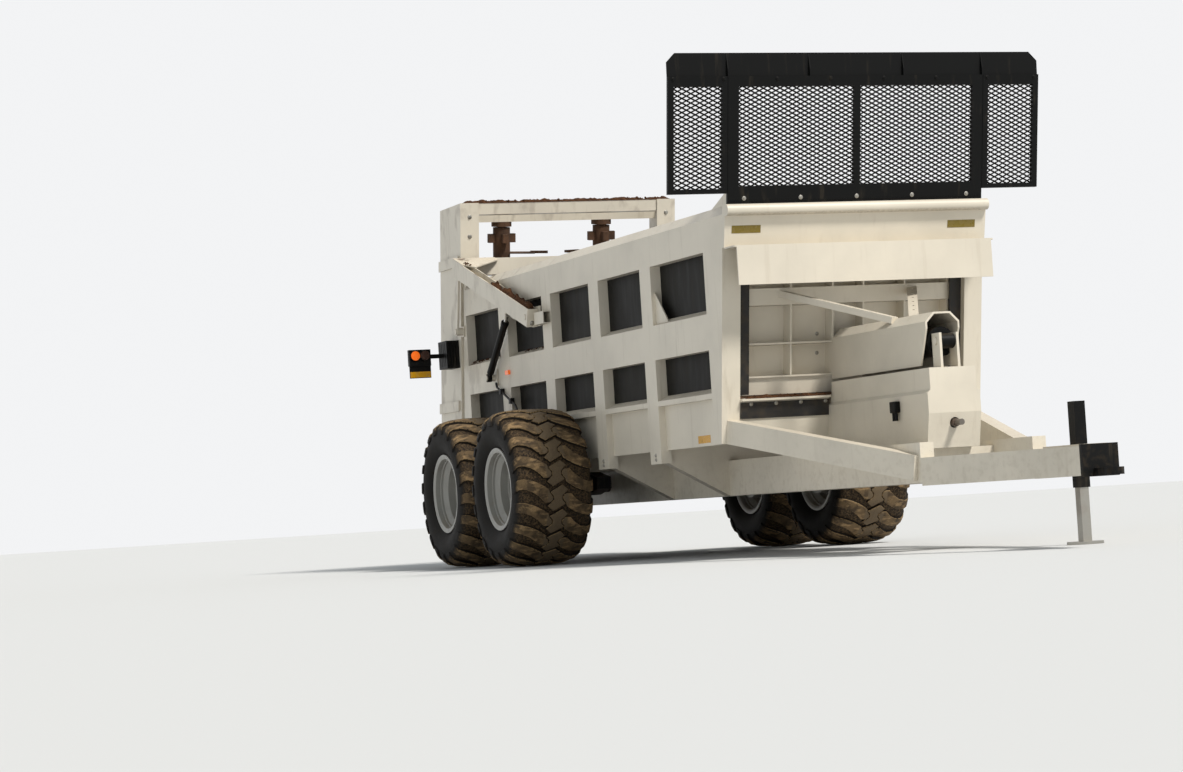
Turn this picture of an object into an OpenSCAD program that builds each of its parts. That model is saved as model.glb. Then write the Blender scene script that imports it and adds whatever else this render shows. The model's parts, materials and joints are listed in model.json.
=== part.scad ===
/* [Box] */
// Outer width across the two side frames
box_w = 2250; // [2100:10:2400]
// Height of the side frames' lower edge above the ground
side_z = 900; // [880:5:920]
// Height of the side frames' upper edge
top_z = 2735; // [2700:5:2760]
// Length of the side frames along their lower edge
box_len = 6420; // [6380:10:6460]
// Forward lean of the front, the gates and the beaters, in degrees
lean = 9.6; // [9:0.1:10.2]
// Depth of the posts and rails of a side frame
frame_t = 90; // [70:5:100]
// Thickness of the plastic liner
liner_t = 20; // [12:1:25]
// Width of a side post
post_w = 236; // [200:4:260]
// Distance between neighbouring side posts
post_pitch = 1212; // [1190:2:1220]
// Distance from the front corner to the middle of the first post
first_post = 1384; // [1360:2:1400]
// Length that a post's foot reaches below the side frame
foot_h = 106; // [90:2:120]
// Height of the load floor
floor_z = 1260; // [1240:5:1280]
// Thickness of the load floor
floor_t = 20; // [12:1:25]

/* [Side windows] */
// Height of the lower edge of the lower windows
win_low_z = 1302; // [1290:2:1330]
// Clear height of a lower window
win_low_h = 337; // [310:1:350]
// Height of the lower edge of the upper windows
win_up_z = 1921; // [1900:1:1940]
// Clear height of an upper window
win_up_h = 483; // [450:1:500]
// Height of the sloped sill in a window
sill_h = 42; // [30:1:60]
// Thickness of a skirt panel below the lower sill
skirt_t = 12; // [8:1:20]
// Distance that a skirt panel is set back
skirt_back = 55; // [30:1:60]
// Height of the bevel along the top rail
cap_bevel = 80; // [50:1:90]

/* [Front] */
// Width of the front face of a corner post
corner_w = 155; // [130:5:170]
// Depth of a corner post behind its front face
corner_d = 135; // [120:5:145]
// Thickness of folded front plates
sheet_t = 12; // [8:1:16]
// Diameter of the rounded lip along the top
lip_d = 90; // [70:2:100]
// Height of the apron's lower edge
apron_z = 2095; // [2060:5:2100]
// Height of the apron's front panel
apron_h = 305; // [280:5:320]
// Distance that the apron stands ahead of the front plane
apron_out = 230; // [200:5:260]
// Depth of the corner posts' inner flange
corner_flange = 60; // [40:5:62]
// Width of the fixed pedestal
pedestal_w = 430; // [400:10:460]
// Distance that the pedestal reaches ahead of the box
pedestal_len = 1750; // [1740:10:1780]

/* [Guard screen] */
// Overall width of the guard screen
guard_w = 3180; // [3100:10:3300]
// Width of the middle part between the wings
guard_mid_w = 2190; // [2100:10:2300]
// Height of the wings' lower edge above the ground
guard_z = 2810; // [2790:5:2830]
// Height of the fold below the guard's hood
fold_z = 3690; // [3660:5:3720]
// Length of the hood above the fold
hood_h = 185; // [160:5:200]
// Thickness of the guard's frame
guard_t = 30; // [24:1:40]
// Width of the outer uprights, and of the bars beside the seams
guard_bar = 48; // [40:1:60]
// Width of the middle part's uprights
guard_post = 93; // [80:1:100]
// Width of the middle part's centre bar
guard_mid_bar = 54; // [48:1:60]
// Height of the band below the fold
guard_top_band = 76; // [60:1:90]
// Height of the middle part's lower band
guard_low_band = 112; // [100:1:120]
// Height of the wings' lower bar
guard_wing_bar = 34; // [30:1:40]
// Rows of openings in the screen
mesh_rows = 8; // [6:1:10]
// Openings across a middle field
mesh_cols = 8; // [6:1:12]
// Width of the strands between the openings
mesh_strand = 22; // [16:1:30]

/* [Push gate] */
// Depth of the ribs on the push gate
rib_d = 130; // [110:5:150]
// Thickness of ribs and skins
rib_t = 14; // [10:1:20]
// Height of the push gate's upper edge
push_top_z = 2600; // [2560:5:2640]
// Distance of the ribs' front edges behind the front plane
push_back = 105; // [100:1:115]
// Gap between the push gate and the box around it
push_gap = 15; // [10:1:20]
// Height of the push cylinder's axis
ram_z = 1535; // [1525:1:1545]
// Outer diameter of the push cylinder's barrel
barrel_d = 220; // [210:2:224]
// Half width of the nose over the push cylinder
nose_half = 140; // [136:1:160]
// Height of the nose's top
nose_top_z = 1755; // [1740:5:1780]
// Height of the slot between the nose and the pedestal
nose_low_z = 1365; // [1350:5:1380]
// Step in diameter from one stage to the next
stage_step = 30; // [28:1:32]
// Running gap on each side between sliding tubes
tube_gap = 0.5; // [0.3:0.1:0.6]

/* [Endgate and lift] */
// Thickness of the endgate
gate_t = 80; // [60:2:90]
// Clearance before and behind the endgate
gate_gap = 6; // [6:1:8]
// Half width of the endgate
gate_half = 1100; // [1080:5:1105]
// Height of the endgate's upper edge
gate_top_z = 2760; // [2740:5:2780]
// Height of a lift arm's pivot
arm_pivot_z = 2230; // [2210:5:2240]
// Distance of a lift arm's pivot ahead of the box's rear end
arm_pivot_back = 2360; // [2340:5:2380]
// Length of a lift arm from its pivot to its tip pin
arm_len = 2080; // [2070:5:2090]
// Slope of a lift arm at rest, in degrees
arm_slope = 17.7; // [17:0.1:18]
// Width of a lift arm
arm_w = 100; // [90:2:110]
// Height of a lift arm's section
arm_h = 165; // [150:5:180]
// Wall of a lift arm
arm_wall = 10; // [8:1:14]
// Clearance between a lift arm and the side frame
arm_gap = 18; // [12:1:24]
// Height of the endgate's lift pins
gate_pin_z = 2260; // [2240:5:2280]
// Diameter of the lift pins
pin_d = 40; // [36:2:44]
// Running gap around a lift pin
pin_gap = 0.5; // [0.3:0.1:0.8]
// Travel of the endgate along its lean
gate_travel = 1050; // [900:10:1050]
// Outer diameter of a lift cylinder
lift_d = 66; // [60:2:68]

/* [Spreading unit] */
// Depth of the rear frame behind its front flange
rear_d = 650; // [620:5:680]
// Height of the rear frame's top
rear_top_z = 3500; // [3460:5:3540]
// Wall of the rear frame's shields
shield_t = 16; // [12:1:20]
// Width of a rear post's front flange
post_face = 190; // [150:5:220]
// Height of the top beam
beam_h = 110; // [90:5:130]
// Distance of each beater's axis from the middle
beater_y = 530; // [520:2:540]
// Radius of a beater over its knives
beater_r = 465; // [440:5:470]
// Distance of the beaters' axes behind the rear flange
beater_back = 510; // [500:5:530]
// Diameter of a beater's tube
beater_tube = 170; // [150:5:190]
// Number of flight segments on a beater
flight_steps = 14; // [12:1:16]
// Diameter of the drive shaft under the floor
shaft_d = 60; // [50:2:70]
// Height of the drive shaft's axis
shaft_z = 930; // [910:5:950]
// Diameter of the drive shaft's input stub
input_d = 45; // [35:1:50]
// Length of the drive shaft's input stub
stub_len = 85; // [75:1:100]

/* [Running gear] */
// Diameter of a tyre over its lugs
tyre_d = 1370; // [1350:2:1372]
// Width of a tyre
tyre_w = 720; // [700:5:730]
// Diameter of a rim over its flanges
rim_d = 720; // [700:5:740]
// Distance from the middle to the middle of a tyre
wheel_y = 1520; // [1515:1:1525]
// Distance of the front axle behind the front corner
axle_x = 3370; // [3350:5:3390]
// Distance between the two axles
axle_pitch = 1510; // [1500:5:1540]
// Height of a walking beam
beam_z = 200; // [180:5:220]
// Width of a walking beam
walk_w = 130; // [120:5:140]
// Diameter of a stub axle
stub_d = 120; // [110:2:130]
// Running gap around a stub axle
stub_gap = 0.1; // [0.05:0.05:0.1]

/* [Chassis and tongue] */
// Width of a main rail
rail_w = 110; // [100:5:120]
// Height of a main rail
rail_h = 290; // [260:5:300]
// Height of the main rails' lower edge
rail_z = 500; // [480:5:510]
// Distance from the middle to a main rail's outer face
rail_y = 510; // [490:5:530]
// Distance that the main rails reach ahead of the box
rail_front = 2150; // [2100:10:2200]
// Width of a transverse frame along the box
bearer_w = 110; // [90:5:120]
// Distance of the hitch eye ahead of the box
hitch_x = 3950; // [3900:10:4000]
// Height of the hitch eye's middle
hitch_z = 500; // [480:5:520]
// Radius of the hitch eye's bore
hitch_bore_r = 26; // [24:0.5:28]
// Thickness of the hitch eye
hitch_t = 50; // [44:1:56]
// Distance of the jack ahead of the box
jack_x = 2750; // [2700:10:2800]
// Side of the jack's inner leg
jack_leg_s = 70; // [64:2:76]
// Travel of the jack's leg
jack_travel = 350; // [300:10:360]
// Diameter of the jack's foot plate
jack_foot_d = 260; // [240:5:280]

/* [Hidden] */
$fn = 48;

cream = "#e2dccd";
shade_cream = "#cfc9ba";
black_paint = "#1c1d1f";
poly_black = "#2b2a2a";
rubber_black = "#161616";
silver = "#9c9c9a";
steel = "#8d8a84";
brown_steel = "#6b4a35";
amber = "#f08a1c";

half_w = box_w / 2;
slope = tan(lean);
inner_y = half_w - frame_t - liner_t;
flange_y = half_w - corner_w;

// Side posts and bays
post_count = 4;
bay_count = post_count + 1;
rear_jamb = box_len - 310;

// Rearward offsets from the front plane to the endgate and the spreading unit
gate_off = -box_len - gate_gap;
flange_off = gate_off - gate_t - gate_gap;
shield_off = flange_off - rear_d;
beater_off = flange_off - beater_back;

// X of the leaned front plane at a height, measured from the lower front corner
function lean_x(z) = slope * (z - side_z);

// Corners of a leaned strip between two heights and two offsets from the front plane
function leaned(z0, z1, x0, x1) = [
    [lean_x(z0) + x0, z0], [lean_x(z1) + x0, z1],
    [lean_x(z1) + x1, z1], [lean_x(z0) + x1, z0]
];

// Overall length, from the hitch eye's nose to the beaters' rear reach
beater_floor = 1120;
beater_lift = 46;
disc_r = 440;
hitch_eye_r = 65;
hitch_nose = hitch_x + hitch_eye_r;
rear_reach = lean_x(beater_floor) + beater_off + beater_lift * sin(lean) - disc_r * cos(lean);
x_mid = (hitch_nose + rear_reach) / 2;

// Front and rear edge of each bay of windows, and the middle of each post
function bay_front(i) = i == 0 ? -corner_d : -(first_post + (i - 1) * post_pitch + post_w / 2);
function bay_rear(i) = i == post_count ? -rear_jamb : -(first_post + i * post_pitch - post_w / 2);
function post_x(i) = -(first_post + i * post_pitch);

// Moves a piece from the box's own frame, with X from its lower front corner
module place() {
    translate([-x_mid, 0, 0]) children();
}

// A plate whose outline is drawn in X and Z, from y0 towards +Y by t
module xz_plate(points, y0, t) {
    translate([0, y0 + t, 0]) rotate([90, 0, 0]) linear_extrude(t) polygon(points);
}

// A bar whose section is drawn in Y and Z, from x0 to x1
module yz_bar(points, x0, x1) {
    translate([x0, 0, 0]) rotate([90, 0, 90]) linear_extrude(x1 - x0) polygon(points);
}

// A plate whose outline is drawn in X and Y, from z0 up by t
module xy_plate(points, z0, t) {
    translate([0, 0, z0]) linear_extrude(t) polygon(points);
}

module block(x0, x1, y0, y1, z0, z1) {
    translate([x0, y0, z0]) cube([x1 - x0, y1 - y0, z1 - z0]);
}

module rod_y(x, z, d, y0, y1) {
    translate([x, y0, z]) rotate([-90, 0, 0]) cylinder(h = y1 - y0, d = d);
}

module rod_x(x0, x1, y, z, d) {
    translate([x0, y, z]) rotate([0, 90, 0]) cylinder(h = x1 - x0, d = d);
}

module both_sides() {
    children();
    mirror([0, 1, 0]) children();
}

module on_side(sy) {
    if (sy < 0) children();
    else mirror([0, 1, 0]) children();
}

// Stands children on the leaned front plane, moved by an offset, with Z up the lean
module along_lean(off, z) {
    translate([lean_x(z) + off, 0, z]) rotate([0, lean, 0]) children();
}

// Side frame, drawn for the right
module side_frame() {
    y0 = -half_w;
    difference() {
        xz_plate(leaned(side_z, top_z, 0, -box_len), y0, frame_t);
        for (i = [0 : bay_count - 1]) bay_cuts(i);
        cap_cut();
    }
    for (i = [0 : bay_count - 1]) {
        sill(i, win_low_z);
        sill(i, win_up_z);
    }
    for (i = [0 : post_count - 1]) post_foot(post_x(i));
    corner_plate();
    window_gusset();
    arm_bracket();
    cylinder_bracket();
}

// Two windows through a bay, and the recesses before and behind its skirt panel
module bay_cuts(i) {
    y0 = -half_w;
    x0 = bay_rear(i);
    x1 = bay_front(i);
    block(x0, x1, y0 - 1, y0 + frame_t + 1, win_low_z, win_low_z + win_low_h);
    block(x0, x1, y0 - 1, y0 + frame_t + 1, win_up_z, win_up_z + win_up_h);
    block(x0, x1, y0 - 1, y0 + skirt_back, side_z - 1, floor_z);
    block(x0, x1, y0 + skirt_back + skirt_t, y0 + frame_t + 1, side_z - 1, floor_z - floor_t);
}

// Bevel that slopes out and down from the top edge
module cap_cut() {
    inner = frame_t - 8;
    pts = [[-half_w - 1, top_z - cap_bevel], [-half_w, top_z - cap_bevel],
           [-half_w + inner, top_z], [-half_w + inner, top_z + 1], [-half_w - 1, top_z + 1]];
    yz_bar(pts, -box_len - 10, lean_x(top_z) + 10);
}

module sill(i, z) {
    pts = [[-half_w, z], [-half_w + frame_t, z], [-half_w + frame_t, z + sill_h]];
    yz_bar(pts, bay_rear(i), bay_front(i));
}

module post_foot(x) {
    block(x - post_w / 2, x + post_w / 2, -half_w, -half_w + frame_t, side_z - foot_h, side_z);
}

// Raised plate at the top front corner, with its sloping rear edge
module corner_plate() {
    x1 = lean_x(top_z);
    rise = 95;
    reach = 420;
    pts = [[x1, top_z - 4], [x1 + slope * rise, top_z + rise],
           [x1 - reach / 3, top_z + rise], [x1 - reach, top_z - 4]];
    xz_plate(pts, -half_w + frame_t - 8, 8);
}

// Brace plate across the lower rear corner of the first upper window
module window_gusset() {
    leg = 260;
    x0 = bay_rear(0);
    z0 = win_up_z + sill_h / 3;
    pts = [[x0, z0], [x0 + leg, z0], [x0, z0 + leg]];
    xz_plate(pts, -half_w + frame_t / 3, 10);
}

arm_y = half_w + arm_gap;
arm_pivot_x = box_len - arm_pivot_back;
arm_mid_y = arm_y + arm_w / 2;
arm_tip_x = -arm_pivot_x - arm_len * cos(arm_slope);
arm_tip_z = arm_pivot_z + arm_len * sin(arm_slope);
pin_bore = pin_d + 2 * pin_gap;
pad_t = 12;
seam = 0.3;

// Boss and cheek plate that carry a lift arm's pivot
module arm_bracket() {
    x = -arm_pivot_x;
    face = -half_w - pad_t;
    outer = -arm_y - arm_w;
    box_x = x + norm([arm_front, arm_h / 2 + 2]) + 8;
    block(x - 110, box_x + 2, face, -half_w - seam, arm_pivot_z - 90, arm_pivot_z + 90);
    difference() {
        block(box_x, x + 350, -half_w - 70, -half_w - seam, arm_pivot_z - 85, arm_pivot_z + 25);
        block(box_x + 8, x + 351, -half_w - 62, -half_w + 1, arm_pivot_z - 77, arm_pivot_z + 17);
    }
    rod_y(x, arm_pivot_z, 110, -arm_y + 0.5, face);
    rod_y(x, arm_pivot_z, pin_d, outer - 6, face);
    rod_y(x, arm_pivot_z, pin_d + 12, outer - 6, outer - 0.5);
}

// Pins of a lift cylinder, measured from the front corner
cyl_base_x = -arm_pivot_x - 1260;
cyl_base_z = 1754;
cyl_eye_x = -arm_pivot_x - 600;
cyl_eye_z = 2320;
cyl_rise = cyl_eye_z - cyl_base_z;
cyl_run = cyl_eye_x - cyl_base_x;
cyl_angle = atan2(cyl_rise, cyl_run);
cyl_span = norm([cyl_run, cyl_rise]);
eye_w = 40;
eye_d = pin_d + 36;

// Cheek plate and pin that carry the foot of a lift cylinder
module cylinder_bracket() {
    face = -half_w - pad_t;
    x = cyl_base_x;
    z = cyl_base_z;
    block(x - 80, x + 80, face, -half_w - seam, z - 75, z + 75);
    rod_y(x, z, pin_d, -arm_mid_y - eye_w / 2 - 12, face);
    rod_y(x, z, pin_d + 24, -arm_mid_y + eye_w / 2 + 0.5, face);
    rod_y(x, z, pin_d + 24, -arm_mid_y - eye_w / 2 - 12, -arm_mid_y - eye_w / 2 - 0.5);
}

module liner() {
    xz_plate(leaned(floor_z, top_z - 6, -corner_flange, -box_len), -half_w + frame_t, liner_t);
}

bearer_top = floor_z - floor_t;
frame_y = half_w - frame_t;

module load_floor() {
    color(steel) place() {
        xz_plate(leaned(bearer_top, floor_z, -corner_flange, -box_len), -frame_y, 2 * frame_y);
        xz_plate(leaned(bearer_top, floor_z, 0, -corner_flange), -flange_y, 2 * flange_y);
    }
}

rail_top = rail_z + rail_h;
frame_rear = flange_off - rear_d + 100;
shaft_bore = shaft_d + 2 * tube_gap;

// Transverse frames: X of the middle, depth below the floor inboard, bore for the shaft
bearer_rows = [
    [post_x(0), rail_z, shaft_bore], [post_x(1), rail_z, shaft_d + 20],
    [post_x(2), rail_top, shaft_d + 20], [post_x(3), rail_top, shaft_bore]
];

module bearer(row) {
    x0 = row[0] - bearer_w / 2;
    x1 = row[0] + bearer_w / 2;
    both_sides() yz_bar([[-frame_y, side_z - foot_h], [-frame_y, bearer_top],
                         [-rail_y, bearer_top], [-rail_y, row[1]]], x0, x1);
    difference() {
        block(x0, x1, -rail_y, rail_y, rail_top, bearer_top);
        rod_x(x0 - 1, x1 + 1, 0, shaft_z, row[2]);
    }
}

// Bearer under each end of the load floor, which stands on the rails
module end_bearer(x) {
    x0 = x - bearer_w / 2;
    x1 = x + bearer_w / 2;
    block(x0, x1, -frame_y, frame_y, bearer_top - 140, bearer_top);
    both_sides() block(x0, x1, -rail_y, -rail_y + rail_w, rail_top, bearer_top - 140);
}

// X of the walking beams' pivot
walk_x = -(axle_x + axle_pitch / 2);

// Cross members between the rails
cross_rows = [1500, 600, walk_x + 1025, 220 - box_len];

// Rails with the transverse frames that reach out to the post feet
module main_frame() {
    color(shade_cream) place() {
        difference() {
            both_sides() block(frame_rear, rail_front, -rail_y, -rail_y + rail_w, rail_z, rail_top);
            rod_y(walk_x, wheel_z, pivot_tube_d, -half_w, half_w);
        }
        for (row = bearer_rows) bearer(row);
        for (x = [-180, -box_len + 110]) end_bearer(x);
        for (x = cross_rows)
            block(x - 60, x + 60, -rail_y + rail_w, rail_y - rail_w, rail_z + 40, rail_top - 40);
    }
}

wheel_z = tyre_d / 2;
pivot_tube_d = 150;
walk_out = frame_y - 8;
hub_in = wheel_y - tyre_w / 2 + 60;

// Outline of a walking beam: X from its pivot, height from its axis
module beam_outline() {
    reach = axle_pitch / 2;
    h = beam_z / 2;
    tail = reach + 150;
    nose = reach + 330;
    polygon([[-tail, -h / 2], [-reach - 60, -h], [reach + 60, -h], [nose, -h / 2],
             [nose, h / 2], [reach + 60, h], [-reach - 60, h], [-tail, h / 2]]);
}

// Walking beams with their cross tube and the four stub axles
module walking_beams() {
    reach = axle_pitch / 2;
    color(black_paint) place() {
        rod_y(walk_x, wheel_z, pivot_tube_d, -walk_out + walk_w, walk_out - walk_w);
        both_sides() {
            translate([walk_x, -walk_out + walk_w, wheel_z]) rotate([90, 0, 0]) linear_extrude(walk_w) beam_outline();
            for (x = [walk_x - reach, walk_x + reach]) {
                rod_y(x, wheel_z, stub_d + 80, -hub_in + 6, -walk_out);
                rod_y(x, wheel_z, stub_d, -hub_in - 200, -hub_in + 6);
            }
        }
    }
}

tyre_r = tyre_d / 2;
seat_r = rim_d / 2 - 26;
rim_half = tyre_w / 2 - 60;

// Lugs around a tyre, with the angle that one takes, and the columns of corners around the tread
lugs = 20;
lug_pitch = 360 / lugs;
columns = 4 * lugs;

// Corners of a lug in shares of the pitch: its top's two edges, then the groove's two
edge_lug = [-0.21, 0.21, 0.30, 0.70];
mid_lug = [-0.31, 0.31, 0.39, 0.61];

// Rows across the tread: distance from the middle, radius, groove depth, lead in degrees, corners
tread_rows = [
    [-tyre_w / 2 + 1.2, tyre_r - 85, 14, lug_pitch, edge_lug],
    [-tyre_w / 2 + 60, tyre_r - 23, 30, lug_pitch * 0.79, edge_lug],
    [-tyre_w / 2 + 298, tyre_r, 24, lug_pitch * 0.02, mid_lug],
    [tyre_w / 2 - 298, tyre_r, 24, -lug_pitch * 0.02, mid_lug],
    [tyre_w / 2 - 60, tyre_r - 23, 30, -lug_pitch * 0.79, edge_lug],
    [tyre_w / 2 - 1.2, tyre_r - 85, 14, -lug_pitch, edge_lug]
];

// Turn that stands the tyre on the leading corner of a middle lug
tread_turn = -90 - lug_pitch * (mid_lug[0] + 0.02);

function around(r, w, a) = [r * cos(a + tread_turn), w, r * sin(a + tread_turn)];

// Corner k of a row: tops on the first two of four, groove on the others
function tread_corner(row, k) =
    let (j = k % 4)
    around(row[1] - (j > 1 ? row[2] : 0), row[0], row[3] + lug_pitch * (floor(k / 4) + row[4][j]));

// Two triangles between neighbouring rings that start at points a and b
function ring_strip(a, b, n) = [for (k = [0 : n - 1]) each [
    [a + k, b + k, b + (k + 1) % n],
    [a + k, b + (k + 1) % n, a + (k + 1) % n]
]];

// Three triangles for each pair of columns, between a tread row and a brim with half as many points
function side_strip(a, b, lead) = [for (k = [0 : columns / 2 - 1])
    let (n = columns / 2, p = a + 2 * k, q = a + (2 * k + 2) % columns,
         r0 = b + (k + lead + n) % n, r1 = b + (k + lead + 1 + n) % n)
    each [[p, p + 1, r0], [p + 1, q, r1], [p + 1, r1, r0]]
];

function turned_over(faces) = [for (f = faces) [f[2], f[1], f[0]]];

// A tyre about its own axle, at the origin, axle along Y
module tyre_solid() {
    half = columns / 2;
    ease = 1 / cos(180 / half);
    brim = (seat_r + 27) * ease;
    seat = (seat_r + 0.3) * ease;
    w = rim_half - 0.4;
    rings = [[brim, -w], [seat, -w], [seat, w], [brim, w]];
    tread = [for (row = tread_rows) for (k = [0 : columns - 1]) tread_corner(row, k)];
    bead = [for (ring = rings) for (k = [0 : half - 1]) around(ring[0], ring[1], k * 360 / half)];
    last = (len(tread_rows) - 1) * columns;
    b0 = len(tread);
    polyhedron(concat(tread, bead), concat(
        [for (i = [0 : len(tread_rows) - 2]) each turned_over(ring_strip(i * columns, (i + 1) * columns, columns))],
        turned_over(side_strip(0, b0, 2)),
        side_strip(last, b0 + 3 * half, -2),
        [for (i = [0 : 2]) each ring_strip(b0 + i * half, b0 + (i + 1) * half, half)]
    ));
}

module tyre(sy, x) {
    color(rubber_black) place() translate([x, sy * wheel_y, wheel_z]) tyre_solid();
}

disc_z = -150;
hub_r = 100;

// Section of the rim's barrel: radius and distance from the wheel's middle plane
module barrel_section() {
    edge = rim_half + 12;
    drop = seat_r - 50;
    wall = 14;
    half = [[seat_r + 26, edge], [seat_r + 26, rim_half], [seat_r, rim_half], [seat_r, rim_half - 60],
            [drop, rim_half - 100]];
    step = seat_r - wall - 12;
    inner = [[drop - 30, rim_half - 180], [drop - wall, rim_half - 174], [drop - wall, rim_half - 104],
             [step, rim_half - 66], [step, rim_half - 48], [seat_r - wall, rim_half - 44],
             [seat_r - wall, rim_half + 2], [seat_r + 6, edge]];
    flip = [for (p = half) [p[0], -p[1]]];
    back = [for (p = inner) [p[0], -p[1]]];
    n = len(half) - 1;
    m = len(inner) - 1;
    polygon(concat(half, [for (i = [n : -1 : 0]) flip[i]], [for (i = [m : -1 : 0]) back[i]], inner));
}

// Rim with its dished disc, brake drum and hub, outer side towards +Z
module rim_solid() {
    drop = seat_r - 62;
    difference() {
        union() {
            rotate_extrude($fn = 72) barrel_section();
            rotate_extrude($fn = 72) polygon([[hub_r, disc_z - 16], [drop - 60, disc_z - 16], [drop, disc_z + 20],
                                              [drop, disc_z + 40], [drop - 60, disc_z + 4], [hub_r, disc_z + 4]]);
            translate([0, 0, -rim_half + 2]) cylinder(h = rim_half + disc_z - 18, r = 205);
            translate([0, 0, disc_z - 16]) cylinder(h = 50, r = 140);
            translate([0, 0, disc_z - 16]) cylinder(h = 150, r = hub_r);
            translate([0, 0, disc_z + 134]) cylinder(h = 30, r1 = hub_r - 10, r2 = hub_r - 30);
        }
        translate([0, 0, -rim_half - 20]) cylinder(h = rim_half - 90 + 20, r = stub_d / 2 + stub_gap);
        for (a = [0 : 36 : 324]) rotate([0, 0, a]) translate([drop - 90, 0, disc_z - 60]) cylinder(h = 120, d = 34);
    }
}

module rim(sy, x) {
    color(silver) place() on_side(sy) translate([x, -wheel_y, wheel_z]) rotate([90, 0, 0]) rim_solid();
}

lip_x = lean_x(top_z) + 55;
lip_z = top_z - 55;
apron_top = apron_z + apron_h;
apron_x = lean_x(apron_z + apron_h / 2) + apron_out;
wall_x = lean_x(apron_top) + 20;
top_plate = 12;

// Half width of the apron's panel, and the radius of its ledge's front corners
panel_half = half_w - 33;
ledge_r = 28;

// Outline of the apron's ledge in X and Y, with rounded front corners
function ledge_outline() =
    let (arc = [for (a = [0 : 15 : 90]) [apron_x - ledge_r + ledge_r * sin(a), panel_half + ledge_r * cos(a)]])
    concat([[wall_x, panel_half + ledge_r]], arc,
           [for (i = [len(arc) - 1 : -1 : 0]) [arc[i][0], -arc[i][1]]], [[wall_x, -panel_half - ledge_r]]);

// Corner flanges and the folded plates of the front above the push gate
module front_wall() {
    y1 = half_w;
    wall_top = lip_z + lip_d / 2 - top_plate;
    color(cream) place() {
        both_sides()
            xz_plate(leaned(side_z, top_z, 0, -corner_flange), -half_w + frame_t, corner_w - frame_t);
        rod_y(lip_x, lip_z, lip_d, -y1, y1);
        block(lean_x(top_z), lip_x, -y1, y1, wall_top, wall_top + top_plate);
        xz_plate([[wall_x, apron_top], [wall_x + sheet_t, apron_top],
                  [lip_x - 20, lip_z - lip_d / 2 + 12], [lip_x - 20 - sheet_t, lip_z - lip_d / 2 + 12]], -y1, 2 * y1);
        xy_plate(ledge_outline(), apron_top - sheet_t, sheet_t);
        block(apron_x - sheet_t, apron_x, -panel_half, panel_half, apron_z, apron_top - sheet_t / 2);
        both_sides() {
            xz_plate([[lean_x(apron_top), apron_top], [wall_x, apron_top], [lip_x - 20, lip_z - lip_d / 2 + 12],
                      [lip_x, wall_top], [lean_x(wall_top), wall_top]], -y1, sheet_t);
        }
    }
}

// Wall and ledge across the front below the push gate
module lower_front() {
    z0 = side_z + 10;
    color(cream) place() difference() {
        union() {
            xz_plate(leaned(z0, bearer_top, 0, -sheet_t), -flange_y, 2 * flange_y);
            xz_plate(leaned(bearer_top - 20, bearer_top, 45, 0), -flange_y, 2 * flange_y);
        }
        block(-200, 300, -pedestal_w / 2, pedestal_w / 2, side_z, floor_z);
    }
}

seal_w = 110;
module seal_strips() {
    color(rubber_black) place() both_sides() {
        xz_plate(leaned(bearer_top - 155, bearer_top - 30, 10, 0), -flange_y, flange_y - pedestal_w / 2);
        xz_plate(leaned(floor_z + 12, apron_top, -corner_flange, -corner_flange - 12), -inner_y + 5, seal_w + 30);
    }
}

pedestal_z = rail_top - 40;
pedestal_top = nose_low_z - 25;
anchor_x = pedestal_len - 80;
anchor_slot = 60;
anchor_d = 60;

// Fixed pedestal ahead of the box, with the ears of the push cylinder's anchor
module pedestal() {
    w = pedestal_w / 2;
    ledge = 160;
    section = [[-w, pedestal_z], [-w, pedestal_top - ledge - 25], [-w + 25, pedestal_top - ledge],
               [-w + 25, pedestal_top], [w - 25, pedestal_top], [w - 25, pedestal_top - ledge],
               [w, pedestal_top - ledge - 25], [w, pedestal_z]];
    color(cream) place() {
        difference() {
            yz_bar(section, -sheet_t, pedestal_len);
            xz_plate(leaned(0, 2000, -sheet_t, -800), -w - 1, 2 * w + 2);
            xz_plate(leaned(bearer_top, 2000, 0, -800), -w - 1, 2 * w + 2);
            rod_x(-100, pedestal_len + 1, 0, shaft_z, shaft_d + 20);
            xz_plate([[pedestal_len - 60, pedestal_z - 1], [pedestal_len + 1, pedestal_z + 260],
                      [pedestal_len + 1, pedestal_z - 1]], -w - 1, 2 * w + 2);
        }
        difference() {
            both_sides() block(anchor_x - 60, anchor_x + 60, -anchor_slot - 20, -anchor_slot, pedestal_top, ram_z + 60);
            rod_y(anchor_x, ram_z, anchor_d, -200, 200);
        }
        rod_y(anchor_x, ram_z, anchor_d, -anchor_slot - 32, anchor_slot + 32);
    }
}

guard_low = lip_z + lip_d / 2;
guard_off = guard_t + 4;
mid_half = guard_mid_w / 2;
guard_half = guard_w / 2;
seam_w = 4;
mesh_t = 6;
mesh_gap = 0.3;

// Fields of the guard screen: inner and outer Y, lower and upper Z, and openings across
guard_fields = [
    [guard_mid_bar / 2, mid_half - guard_post, guard_low + guard_low_band + 25, fold_z - guard_top_band, mesh_cols],
    [mid_half + guard_bar, guard_half - guard_bar, guard_z + guard_wing_bar, fold_z - guard_top_band, mesh_cols * 3 / 8]
];

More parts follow.
